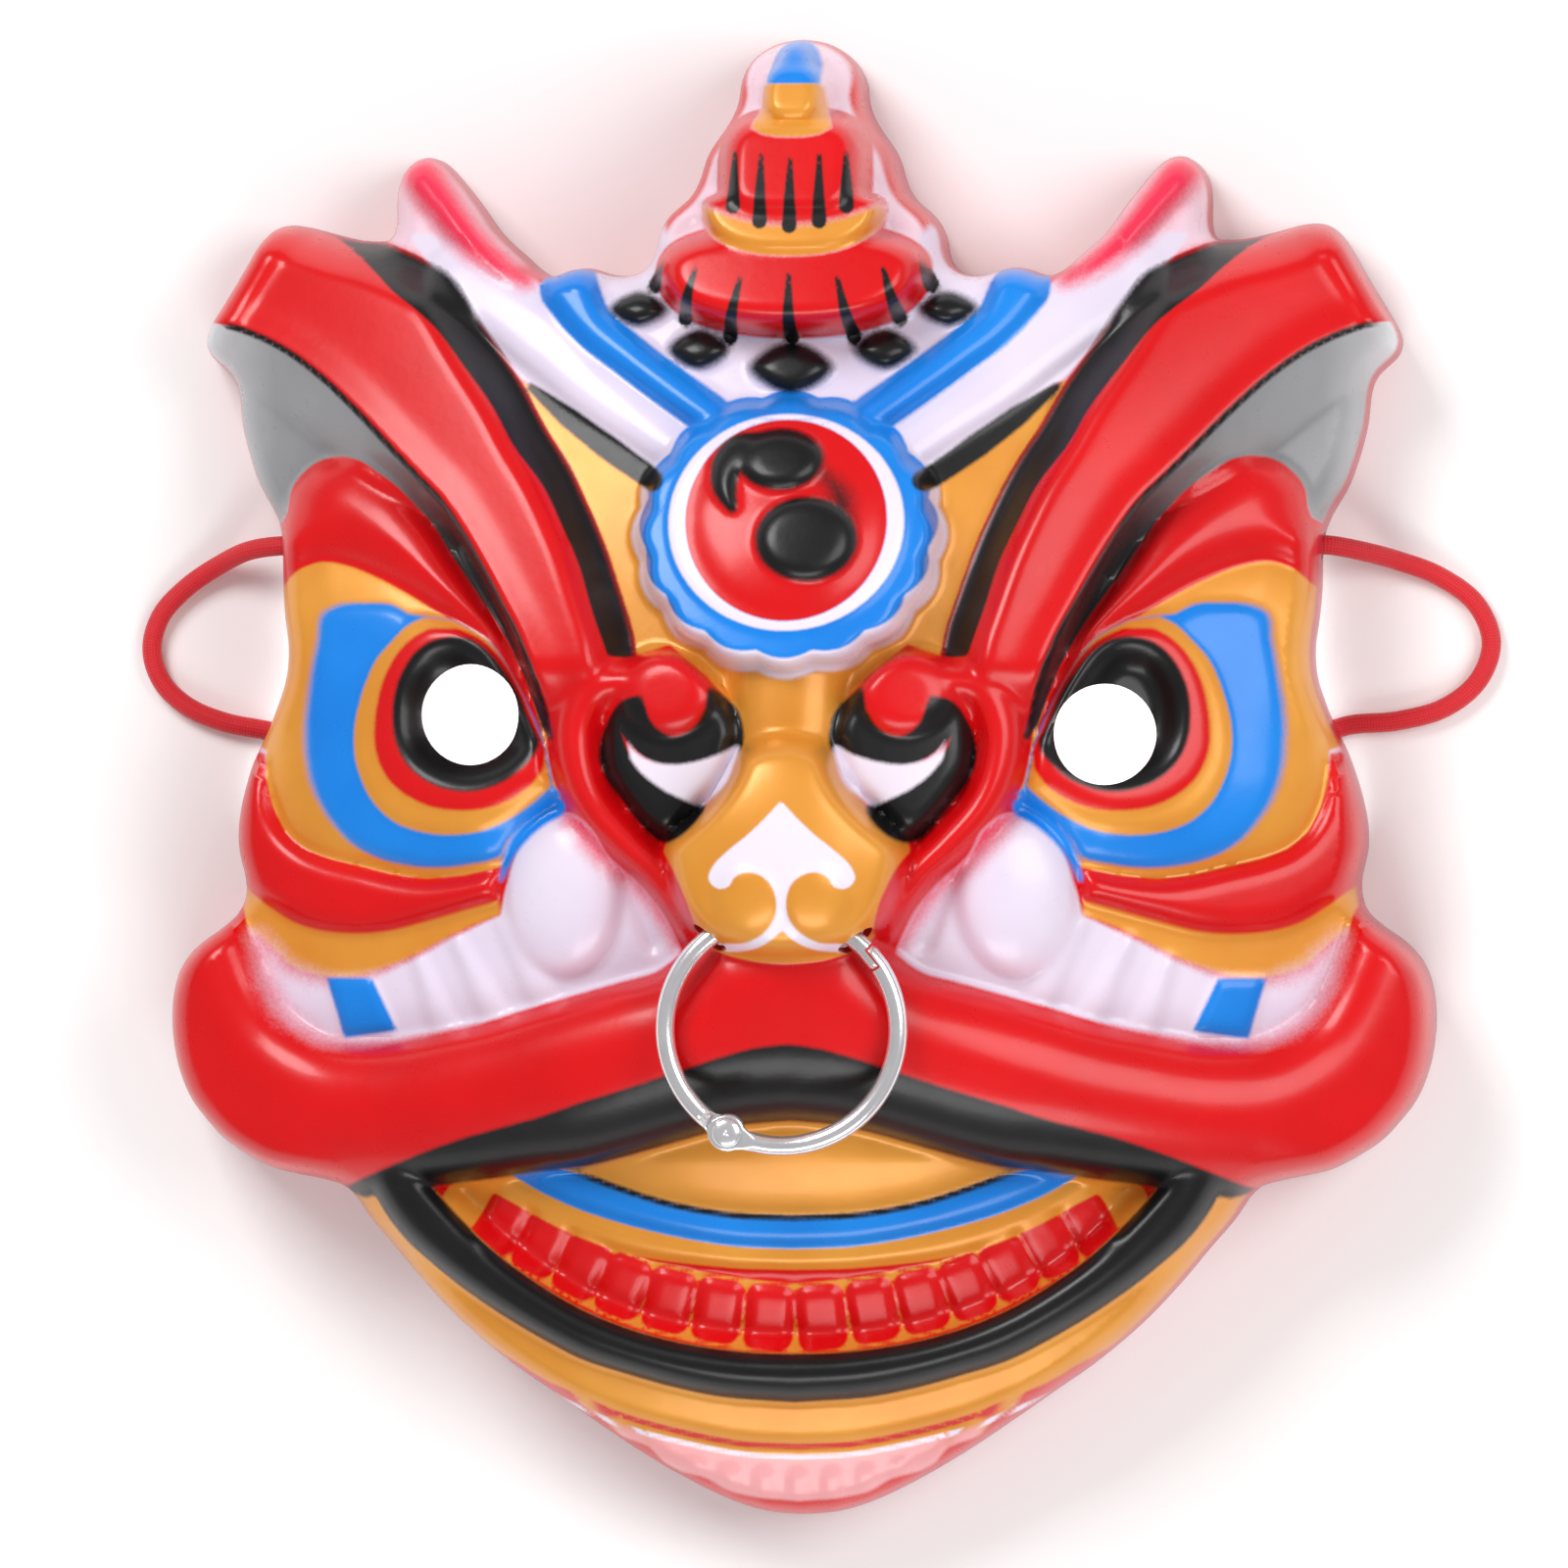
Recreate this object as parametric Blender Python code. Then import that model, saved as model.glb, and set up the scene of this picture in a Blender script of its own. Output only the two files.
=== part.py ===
# Lion dance face mask
# A deep, thin-walled plastic face mask with a carved relief, a split steel nose ring that swings
# in two holes in the sides of the nose, and one elastic cord knotted through two temple holes.
# The mask lies face up: +Z is the way the face looks, +Y runs to the horn on its crown, and the
# rim lies on Z = 0. Metres throughout.

import math

import bmesh
import bpy
import numpy as np
from mathutils import Matrix, Vector
from mathutils.geometry import delaunay_2d_cdt

# Driving dimensions of the mask
MASK_WIDTH = 0.1940
MASK_HEIGHT = 0.2265
MASK_DEPTH = 0.0680
WALL = 0.0012
WALL_RUN = 0.0036
WALL_SQUARENESS = 2.6
EYE_HOLE = 0.0153
TEMPLE_ARCH = 0.0048

# Driving dimensions of the nose ring
RING_OUTSIDE = 0.0380
RING_WIRE = 0.0029
RING_HOLE = 0.0060
RING_CLEARANCE = 0.0003
KNUCKLE = 0.0056
RIVET_HEAD = 0.0044
RIVET_SHANK = 0.0016
RIVET_HEAD_RISE = 0.0007
SNAP_LAP = 0.0032

# Driving dimensions of the elastic
CORD = 0.0030
CORD_HOLE = 0.0042
KNOT = 0.0075
CORD_CLEARANCE = 0.0003

# Sizes of the mesh that stands for the smooth relief
RELIEF_STEP = 0.0012
INSIDE_STEP = 0.0018
BED_STEP = 0.0005
RELIEF_SHARE = 0.078
RIM_TRIM = 0.0004
HOLE_SIDES = 28
WIRE_SIDES = 12
WIRE_STEP = 0.0026

# The carving is drawn in grid units, 194 across and 226.5 up the face, about its middle, and
# rises to 69.9 units over the rim's plane. One unit is near a millimetre at the size above.
GRID_WIDTH = 194.0
GRID_HEIGHT = 226.5
RELIEF_PEAK = 69.9
UNIT_X = MASK_WIDTH / GRID_WIDTH
UNIT_Y = MASK_HEIGHT / GRID_HEIGHT
UNIT_Z = MASK_DEPTH / RELIEF_PEAK

# Outlines of the carving in grid units. x runs out from the middle line, and each side shape is
# drawn once and mirrored.
RIM = [
    [
        (0, 113.5), (4.2, 112.7), (7.7, 110.3), (9.5, 107), (10, 103.2), (11.4, 100.2),
        (14.4, 95.7), (15.8, 91.2), (17, 89), (20.2, 86.2), (21.9, 83), (22.4, 79.7),
        (23.7, 77.9), (26.4, 77), (29.7, 77.4), (32.1, 78.3), (35.4, 77.9), (37.8, 76.9),
        (39.8, 77.6), (42.9, 80.3), (46.5, 83.6), (49.8, 88.2), (52.8, 92), (55.5, 94.8),
        (58.2, 95.6), (61, 94), (62.4, 91.2), (62.7, 88.2), (62.6, 85),
    ],
    [(63.2, 82.6), (67.5, 82.7), (72, 83.7), (76.5, 84.9), (79, 85.2), (81.3, 84.6), (83.3, 82.5),
     (86.1, 77.7), (88.8, 73.2), (91, 69.5), (92, 67), (91.4, 64.8), (89.6, 63.2), (87.9, 61.5),
     (87.1, 59), (86.6, 54.5), (85.5, 50), (83.6, 44.7), (81.4, 41), (80.1, 38), (79.7, 35),
     (79.6, 29), (79.2, 24.5), (78.6, 20), (78.9, 15.5), (80.1, 11.7), (81.6, 8), (83.5, 4.2),
     (85.3, -1), (86.5, -6.3), (86.6, -10.8), (85.6, -15.3), (85.6, -18)],
    [(86.4, -20.4), (88.6, -22.4), (92.8, -25.4), (95.5, -28.8), (96.8, -33.3), (97, -38.5),
     (96, -44.5), (94, -49.4), (91.6, -52.5), (88.8, -55.5), (85, -58), (81.3, -59.9),
     (77.5, -60.8), (73, -61.7), (70, -62.6)],
    [(68.3, -64.4), (66.3, -67.5), (62.5, -71.9), (58, -77.3), (52, -83.6), (44.5, -89.9),
     (38.6, -94), (32.6, -98.2), (25, -103.3), (17.5, -107.7), (10.8, -110.9), (5.5, -112.5),
     (0, -113)],
]
BROW_TOP = [
    (79, 87), (71.9, 84.4), (63.8, 82), (56.9, 79), (53.1, 77), (50.5, 74), (46.4, 67.5),
    (40.8, 59), (37.4, 53), (33.6, 47), (30.6, 41), (28, 35), (25.4, 27.5), (23.5, 21.5), (22.4, 14),
]
BROW_EDGE = [
    (95, 70.5), (90.6, 69.5), (85.4, 68.4), (78.6, 65.4), (72.6, 61.2), (66.6, 55.7),
    (60.6, 49.5), (56.9, 45.7), (53, 41.7), (49.7, 37), (46.4, 31.5), (43.4, 26), (40.6, 20.7),
    (38, 14), (36, 6),
]
EYELID = [
    [(84, 38), (78.5, 39.5), (77.3, 44), (75.2, 46.7), (72.9, 48.2), (69.9, 48.8), (66.5, 48.2),
     (63.2, 46.2), (60.2, 44), (57.2, 41), (54.6, 38), (51.5, 33.2), (48.2, 28.5), (44.4, 23),
     (41.4, 17.7), (39.2, 12.5), (37.4, 7.2)],
    [(38.3, 5.4), (39.6, 9.8), (41.4, 14), (43.7, 17.4), (46.7, 20.4), (49.7, 22.5), (54.2, 25.2),
     (58.7, 27.9), (63.2, 30.2), (67.7, 32), (72.2, 32.7), (75.9, 31.5), (79, 29), (84, 28)],
]
EYE_SOCKET = [
    [(84, 30), (84, 8), (80.3, 5), (80.7, -0.3), (79.7, -4.8), (77.7, -8.5), (74.4, -11),
     (69.9, -12.4), (65.4, -13.4), (60.2, -14.7), (55.7, -15.2), (49.7, -14.9), (44, -13.7),
     (38, -6), (33.5, -2)],
    [(36, 5), (41, 16), (48, 25), (60, 33), (72, 36)],
]
EYE_BLUE = [
    [(58.2, 24.7), (60.9, 26.1), (64.7, 26.4), (69.2, 26.1), (71.9, 24.7), (72.6, 20.7),
     (73.8, 14), (74.6, 7.2), (74.1, 1.2), (72.6, -3.3), (70.2, -7), (67.4, -10), (63.9, -12),
     (59.4, -13.3), (54.2, -13.8), (48.9, -13.3), (44, -12), (42.9, -10), (40.7, -7.5),
     (37.7, -5.1), (34.2, -2.8)],
    [(35.6, -1.5), (37.4, 6), (42.2, 15.4), (45.9, 20.7), (51.2, 23.7)],
]
EYE_GOLD = [
    [(55.7, 24.2), (58.2, 23), (60.6, 20.7), (63.2, 17.7), (65.1, 13.5), (66.5, 8), (66.5, 3.2),
     (65.4, -0.6), (63.5, -4), (60.5, -6.7), (56.4, -8.3), (51.9, -8.8), (47, -8.3),
     (42.9, -6.7), (39.2, -4.3), (35.9, -1.5)],
    [(36.8, 3), (38.9, 8.7), (42.2, 15.4), (45.9, 20.7), (51.2, 23.7)],
]
EYE_RED = [
    [(54.9, 22.5), (57.9, 20.7), (60.5, 17.7), (62.3, 13.7), (63.3, 8.3), (63.2, 4.2), (62, 0.9),
     (60.2, -1.4), (57.5, -3.3), (53.9, -4.7), (49.7, -5.1), (45.5, -4.7), (41.9, -3.3),
     (38.9, -1.2), (37.1, 1.2)],
    [(36.8, 4), (39.2, 9.6), (41.4, 14.3), (44, 18.2), (46.7, 20.7), (50.4, 22.5)],
]
EYE_DISH = [
    [(51.2, 21.3), (54.2, 20.7), (56.4, 19.4), (58.4, 17), (59.9, 13.7), (60.5, 9.9), (60.2, 6.2),
     (59.1, 3.2), (57.2, 0.8), (54.5, -1), (50.9, -2.1), (47, -2.1), (42.9, -0.6), (39.9, 1.7),
     (38.1, 3.8)],
    [(37.7, 5.4), (39.2, 8.4), (41, 12.5), (43.4, 16.2), (45.9, 19.2), (48.5, 20.9)],
]
EYE_BAND = [
    [(89, 5), (89, -13), (83, -17.9), (80.4, -19.8), (76.7, -22), (72.2, -23.3), (66.9, -23.7),
     (61.7, -23.3), (55.7, -21.8), (49.7, -20.1), (44.3, -18.6)],
    [(44, -13.8), (49.7, -15), (55.7, -15.5), (60.9, -14.9), (65.9, -13.7), (70.7, -12.6),
     (74.9, -11), (78, -8.4), (80, -4.5), (80.9, -0.3), (81.2, 3.5)],
]
LIP = [
    [(0, -21), (12, -23), (16.2, -26.9), (20, -29.6), (25.5, -31.2), (31.5, -32.9), (39.2, -35.1),
     (46.8, -37.4), (54.5, -39), (62, -40.4), (70.2, -40.4), (74, -39), (78.2, -35.9),
     (80.9, -31.5), (82.4, -27.8), (83.8, -24.3), (85.1, -20), (88, -18), (100, -25), (103, -40),
     (99, -54), (88, -64.5), (77, -65.5), (68.7, -63.3)],
    [(62, -62.9), (56, -62.3), (50, -61.5), (44, -60.6), (38, -59.7), (31.9, -59), (25.7, -57.5),
     (19.5, -55.7), (13.2, -53.9), (7.2, -52.5), (0, -51.8)],
]
NOSE = [
    [(0, 6.4), (3, 6), (5.5, 5), (7.2, 3.5), (8.2, 0.9), (10, -2), (12.7, -5), (15.7, -7.5),
     (18.1, -9.7), (18.6, -12), (18.1, -15), (17.2, -18.1), (15.8, -21.1), (13.7, -23.8),
     (10.5, -26.2), (5.5, -27.7), (0, -28.2)],
]
CURL = [
    [(7.5, 4.7), (7, 6.2), (7.8, 9.5), (10, 12.8), (11.8, 14.7), (15.3, 17.6), (19, 18.9),
     (22, 18.6), (25, 16.7), (27.5, 12), (28.3, 5), (27.7, 0.5), (25, -3.7), (22, -7.3),
     (18.7, -9.7)],
    [(16, -8.2), (12.7, -4.6), (9.7, -1.5), (8.2, 1.2)],
]
CURL_HEAD = ((17.8, 12.4), (8.2, 7.4))
COLLAR = [(24, 14.6), (29.8, 13.4), (32.4, 8), (32, 1.5), (29.6, -4.3), (24.8, -9.8), (20, -14.4),
          (16.8, -19.5), (15, -23.4)]
COLLAR_HALF = [3.4, 4.4, 4.2, 4, 3.7, 3.5, 3, 2.4, 1.8]
CHEEK_BALL = ((34.4, -17.9), (9, 12.3))
BLUE_TAB = [[(71.6, -30.6), (64.4, -30.6)], [(60.5, -38.6), (68.9, -39.8)]]
RIB = [(34.4, 74.4), (31, 69), (25, 64), (19, 59.5), (12.3, 54.7)]
RIB_HALF = [4.2, 3.2, 3, 3, 3]
SASH = [(52, 76), (39.3, 67.2), (31, 59.7), (23.5, 54.2), (16, 48.7)]
SASH_HALF = [4.5, 5, 4.2, 3.7, 3.4]
GROOVE = [(40, 59.2), (34, 54.5), (28, 50), (20.5, 44.7)]
GROOVE_HALF = [0.8, 1.8, 1.9, 1.6]
EAR_EDGE = [(58.5, 92), (54.8, 87.6), (50, 82), (44, 77.5), (39, 75)]
EAR_HALF = [2.6, 2.4, 2.2, 2, 1.4]

# The five black studs on the forehead: middle, and half width and half height
STUDS = [((0, 62), (6.4, 4)), ((14.1, 64.8), (4.8, 3.1)), ((23.5, 71), (4.6, 2.7))]

# The arcs of the open mouth, from the middle line out
PALATE_ARC = [(0, -66.8), (8, -66.5), (14.2, -65.7), (20.2, -64.4), (26.2, -62.5), (32.5, -60.3),
              (38, -59)]
BLUE_ARC = [(0, -71.7), (8.2, -71.4), (14.2, -70.6), (20.2, -69.4), (26.2, -67.9), (32.2, -66),
            (38.2, -63.4), (43, -60.6)]
GOLD_ARC = [(0, -74.9), (8.2, -74.7), (14.2, -74.2), (20.2, -73.5), (26.2, -72.3), (32.2, -70.3),
            (38.2, -67.5), (43.5, -64.6), (50, -61.2)]
GUM_ARC = [(0, -87.6), (6.7, -87.4), (14.2, -86.5), (20.2, -85.3), (26.2, -83.5), (32.2, -81),
           (38.2, -77.6), (44.2, -73.4), (48.7, -69.4), (52.5, -65.5), (56, -61.5)]
CHIN_ARC = [(0, -95.1), (11.2, -94.3), (18.7, -92.8), (26.2, -90.7), (32.2, -88.8), (38.2, -85.8),
            (44.2, -82.3), (50.2, -78.3), (54.7, -74.8), (59.2, -70.8), (62.5, -66.7),
            (65.5, -61.5)]
BEARD_ARC = [(0, -102.1), (8.2, -101.7), (17.2, -100), (26.2, -97.6), (32.2, -95.2), (38.2, -92.7),
             (44, -89.5)]

# The row of teeth: seven each side, along the middle of the gum
TOOTH_ROW = [(0, -82.5), (8, -81.7), (19.8, -79.5), (26.6, -77.4), (33.3, -74.3), (39, -71.2),
             (45.5, -67.8), (50, -65)]
TEETH_A_SIDE = 7
TOOTH_PITCH = (7.9, 7.0)
TOOTH_HALF = (3.5, 4.7)

# Heights of the carving above the domed ground, in grid units
DOME_RIM = 14.0
DOME_RISE = 38.0
DOME_REACH = (102.5, 123.0)
BROW_RISE = 9.0
BROW_DROP = (1.6, 8.6)
LID_RISE = 6.0
EYEBALL_RISE = 4.0
DISH_DEPTH = 5.0
LIP_RISE = 11.0
NOSE_RISE = 13.8
NOSE_ARCH = 4.5
NOSE_MIDDLE = ((0, -13), (19, 20))
COLLAR_RISE = 7.5
HEAD_RISE = 8.6
MEDAL_RISE = 9.0
TEETH_RISE = 1.5
GUM_DEPTH = 5.6
MUZZLE_ROOT = 8.0
LOWER_LIP_RISE = 5.0
BEARD_RISE = 2.2
PLEAT_RISE = 0.7
PLEAT = 5.2

# The round medal on the forehead, and the cone-shaped horn over it
MEDAL = ((0, 38.2), (22.6, 20.4))
MEDAL_FOOT = ((0, 36.6), (23.9, 21.9))
MEDAL_RING = ((0, 38.3), (18, 16.6))
MEDAL_BOSS = ((0, 38.6), (15.1, 15.1))
SCALLOPS = 16
SCALLOP_DEPTH = 0.9
SWIRL_HEADS = (((-0.7, 47.6), (5.4, 4.1)), ((2.5, 35.9), (7.3, 6.2)))
SWIRL_TAIL = [(-4, 49.4), (-7.6, 50), (-9.6, 47.2), (-9.9, 43.6), (-8, 40.4)]
SWIRL_TAIL_HALF = [2.4, 2.4, 2.4, 2.2, 1]

# The horn's foot, drum, cap, collar and tip: middle height on the face, half width, reach down
# and reach up, squareness, rise and the width of the rounded edge
HORN_FOOT = (77.0, 20.7, 10.2, 7.2, 2.3, 13.0, 4.6)
HORN_DRUM = (86.5, 13.8, 7.7, 3.0, 2.3, 14.6, 1.4)
HORN_CAP = (92.0, 11.5, 8.8, 9.6, 3.2, 16.2, 4.0)
HORN_COLLAR = (103.0, 4.8, 4.7, 3.0, 2.4, 15.6, 1.6)
HORN_TIP = (105.5, 3.8, 6.0, 7.0, 2.2, 14.4, 3.8)

# Where things sit on the mask, in grid units. The right eye hole was punched a little low.
EYE_HOLES = ((-48.6, 9.4), (47.6, 6.4))
TEMPLE_HOLE = (79.5, 35.5)
TEMPLE_HOLE_RISE = 0.0085
ARCH_MIDDLE = 14.0
ARCH_REACH = 19.0
NOSE_HOLES_Y = -25.1
RING_SIDE = -0.5
RING_AXIS_RISE = 59.825
RING_DROP = 0.0129
RING_TILT_DEG = -3.0
RING_SWING_DEG = 60.0
RIVET_ANGLE_DEG = -118.0
SNAP_ANGLE_DEG = 38.0

# The elastic's line, x and y in grid units and the share of the temple hole's height. It leaves
# each hole, lies in a loop outside the temple and passes under the mask.
ELASTIC_LEFT = [
    (-80.5, 35.5, 1), (-85.5, 34.8, 0.67), (-90.5, 32.6, 0.16), (-95.6, 29.2, 0), (-99.6, 24.8, 0),
    (-101, 19.6, 0), (-99.4, 14.6, 0), (-95.4, 10.8, 0), (-89.6, 8.4, 0), (-82.6, 7, 0), (-75, 4.6, 0),
    (-67, 0.8, 0), (-58, -4.2, 0), (-47, -9.2, 0), (-32, -13.4, 0), (-16, -15.4, 0),
]
ELASTIC_RIGHT = [
    (0, -15.8, 0), (16, -15.2, 0), (32, -13.2, 0), (47, -9.6, 0), (58, -5, 0), (67, -0.2, 0),
    (75, 4.4, 0), (83, 7.8, 0), (91, 8.6, 0), (98.2, 10.6, 0), (103.4, 14.8, 0), (105.4, 20.6, 0),
    (103, 26.6, 0), (97.4, 30.8, 0), (91, 33.2, 0.18), (85.6, 34.6, 0.67), (80.5, 35.5, 1),
]
ELASTIC_STEP = 0.0062


def clear_scene():
    for thing in list(bpy.data.objects):
        bpy.data.objects.remove(thing, do_unlink=True)


def material(name, colour, roughness, metallic=0.0):
    made = bpy.data.materials.new(name)
    made.use_nodes = True
    shader = made.node_tree.nodes["Principled BSDF"]
    shader.inputs["Base Color"].default_value = (*colour, 1.0)
    shader.inputs["Roughness"].default_value = roughness
    shader.inputs["Metallic"].default_value = metallic
    return made


# Curves: smooth lines through a few points, sampled every step
def smooth_run(points, step):
    """A centripetal Catmull-Rom line through the points, as an array of close points."""
    line = np.array(points, float)
    if len(line) < 3:
        return line
    ends = [2 * line[0] - line[1]], [2 * line[-1] - line[-2]]
    padded = np.concatenate([ends[0], line, ends[1]])
    samples = []
    for i in range(1, len(padded) - 2):
        a, b, c, d = padded[i - 1:i + 3]
        t1 = np.linalg.norm(b - a) ** 0.5
        t2 = t1 + np.linalg.norm(c - b) ** 0.5
        t3 = t2 + np.linalg.norm(d - c) ** 0.5
        count = max(1, round(float(np.linalg.norm(c - b)) / step))
        t = np.linspace(t1, t2, count, endpoint=False)[:, None]
        a1 = (t1 - t) / t1 * a + t / t1 * b
        a2 = (t2 - t) / (t2 - t1) * b + (t - t1) / (t2 - t1) * c
        a3 = (t3 - t) / (t3 - t2) * c + (t - t2) / (t3 - t2) * d
        b1 = (t2 - t) / t2 * a1 + t / t2 * a2
        b2 = (t3 - t) / (t3 - t1) * a2 + (t - t1) / (t3 - t1) * a3
        samples.append((t2 - t) / (t2 - t1) * b1 + (t - t1) / (t2 - t1) * b2)
    samples.append(line[-1:])
    return np.concatenate(samples)


def joined(runs, step=1.5):
    """Smooth runs set end to end, with a corner where one run meets the next."""
    return np.concatenate([smooth_run(run, step) for run in runs])


def mirrored(half):
    """A closed outline from its right half, which starts and ends on the middle line."""
    other = half[1:-1][::-1] * (-1, 1)
    return np.concatenate([half, other])


# Distances: how far each point is inside a shape, in grid units, and minus that outside
FAR = 12.0


def near(x, y, low, high):
    return (x > low[0]) & (x < high[0]) & (y > low[1]) & (y < high[1])


def in_pieces(x, y, measure, size=3000):
    out = np.empty(len(x))
    for i in range(0, len(x), size):
        out[i:i + size] = measure(x[i:i + size, None], y[i:i + size, None])
    return out


def depth_in(x, y, outline, far=FAR):
    """The depth of points inside a closed outline."""
    a = outline
    b = np.roll(outline, -1, axis=0)
    run = b - a
    length = np.maximum((run ** 2).sum(1), 1e-9)
    rise = np.where(np.abs(run[:, 1]) < 1e-9, 1e-9, run[:, 1])

    def measure(px, py):
        dx, dy = px - a[:, 0], py - a[:, 1]
        t = np.clip((dx * run[:, 0] + dy * run[:, 1]) / length, 0, 1)
        gap = np.sqrt(((dx - t * run[:, 0]) ** 2 + (dy - t * run[:, 1]) ** 2).min(1))
        crossed = ((a[:, 1] > py) != (b[:, 1] > py)) & (dx < dy * run[:, 0] / rise)
        return np.where(crossed.sum(1) % 2 == 1, gap, -gap)

    out = np.full(len(x), -float(far))
    use = near(x, y, outline.min(0) - far, outline.max(0) + far)
    out[use] = in_pieces(x[use], y[use], measure)
    return np.maximum(out, -far)


def depth_in_stroke(x, y, points, halves, far=FAR, step=1.0):
    """The depth of points inside a stroke whose half width changes along its line."""
    line = smooth_run(points, step)
    along = np.concatenate([[0], np.cumsum(np.linalg.norm(np.diff(line, axis=0), axis=1))])
    at = [float(along[np.argmin(((line - p) ** 2).sum(1))]) for p in np.array(points, float)]
    width = np.interp(along, at, halves)
    a, run, thin, thick = line[:-1], np.diff(line, axis=0), width[:-1], width[1:]
    length = np.maximum((run ** 2).sum(1), 1e-9)

    def measure(px, py):
        dx, dy = px - a[:, 0], py - a[:, 1]
        t = np.clip((dx * run[:, 0] + dy * run[:, 1]) / length, 0, 1)
        gap = np.sqrt((dx - t * run[:, 0]) ** 2 + (dy - t * run[:, 1]) ** 2)
        return (thin + (thick - thin) * t - gap).max(1)

    out = np.full(len(x), -float(far))
    reach = far + max(halves)
    use = near(x, y, line.min(0) - reach, line.max(0) + reach)
    out[use] = in_pieces(x[use], y[use], measure)
    return np.maximum(out, -far)


def depth_in_oval(x, y, middle, radii):
    """About the depth inside an ellipse."""
    u = np.hypot((x - middle[0]) / radii[0], (y - middle[1]) / radii[1])
    return (1 - u) * min(radii)


def depth_in_tier(x, y, tier):
    """About the depth inside a squared oval that reaches further down than up."""
    middle, half, below, above, power = tier[:5]
    reach = np.where(y < middle, below, above)
    across, along = np.abs(x) / half, np.abs(y - middle) / reach
    u = np.maximum((across ** power + along ** power) ** (1 / power), 1e-6)
    slope = np.hypot(across ** (power - 1) / half, along ** (power - 1) / reach) * u ** (1 - power)
    return (1 - u) / slope


def depth_in_stud(x, y, middle, radii):
    """A pebble with four soft corners."""
    u = (np.abs((x - middle[0]) / radii[0]) ** 1.5 + np.abs((y - middle[1]) / radii[1]) ** 1.5) ** (1 / 1.5)
    return (1 - u) * min(radii)


def gap_to_line(x, y, points):
    """How far points are from a smooth line."""
    return -depth_in_stroke(x, y, points, [0] * len(points), 30)


def above_arc(x, y, half, closing):
    """The depth of points between an arc of the mouth, which crosses the middle line, and the lip."""
    line = np.concatenate([smooth_run(half, 1.5), np.array(closing, float)])
    return depth_in(x, y, mirrored(line), 20)


# Profiles: how a shape rises from its edge
def ramp(depth, width):
    t = np.clip(depth / width, 0, 1)
    return t * t * (3 - 2 * t)


def rounded(depth, width):
    t = np.clip(depth / width, 0, 1)
    return np.sqrt(t * (2 - t))


def soft_min(a, b, blend):
    h = np.clip(0.5 + 0.5 * (b - a) / blend, 0, 1)
    return b + (a - b) * h - blend * h * (1 - h)


def soft_max(a, b, blend):
    return -soft_min(-a, -b, blend)


# The carving, one function for each part of the face. All take and give grid units.
def ground(x, y):
    """The domed face that the features stand on."""
    reach = np.hypot(x / DOME_REACH[0], y / DOME_REACH[1])
    return DOME_RIM + DOME_RISE * np.clip(1 - reach ** 1.7, 0, 1)


def brows(x, y):
    """Two folded red ridges that run up to the corners, with a drop to the temples."""
    outline = np.concatenate([smooth_run(BROW_TOP, 1.5), smooth_run(BROW_EDGE[::-1], 1.5)])
    inside = depth_in(x, y, outline) > 0
    from_top = gap_to_line(x, y, BROW_TOP)
    from_edge = gap_to_line(x, y, BROW_EDGE)
    drop = BROW_DROP[0] + (BROW_DROP[1] - BROW_DROP[0]) * ramp(x - 45, 32)
    fall = np.where(from_edge < from_top, np.clip(1 - from_edge / drop, 0, 1) ** 0.8, 0)
    rise = np.where(inside, 1.0, fall) * ramp(from_top, 8.0) * ramp(y - 4, 14)
    crest = np.where(inside, np.exp(-(from_edge / 3) ** 2), fall)
    return BROW_RISE * rise + 1.0 * crest * ramp(y - 4, 14)


def eyes(x, y):
    lids = LID_RISE * rounded(depth_in(x, y, joined(EYELID)), 8.0)
    ball = EYEBALL_RISE * rounded(depth_in(x, y, joined(EYE_SOCKET)), 13.0)
    blue = 0.9 * rounded(depth_in(x, y, joined(EYE_BLUE)), 1.8)
    gold = 0.8 * rounded(depth_in(x, y, joined(EYE_GOLD)), 1.6)
    red = 0.6 * rounded(depth_in(x, y, joined(EYE_RED)), 1.2)
    dish = DISH_DEPTH * ramp(depth_in(x, y, joined(EYE_DISH)), 6.0)
    band = 3.4 * rounded(depth_in(x, y, joined(EYE_BAND)), 3.6)
    return soft_max(lids, ball + blue + gold + red, 0.8) - dish + band


def cheeks(x, y):
    ball = 4.5 * rounded(depth_in_oval(x, y, *CHEEK_BALL), 8.0)
    tab = 0.9 * rounded(depth_in(x, y, np.concatenate([np.array(run, float) for run in BLUE_TAB])), 0.9)
    folds = 0
    for top, foot in (((51, -25), (45, -36.5)), ((57, -28), (53, -38.5)), ((44, -22), (38, -33))):
        folds = folds + 1.1 * rounded(depth_in_stroke(x, y, [top, foot], [1.2, 2.4]), 2.2)
    crease = 1.2 * rounded(depth_in_stroke(x, y, [(24.5, -15), (20.5, -25)], [1.2, 1.8]), 1.8)
    return np.maximum(ball, tab + folds) - crease


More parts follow.
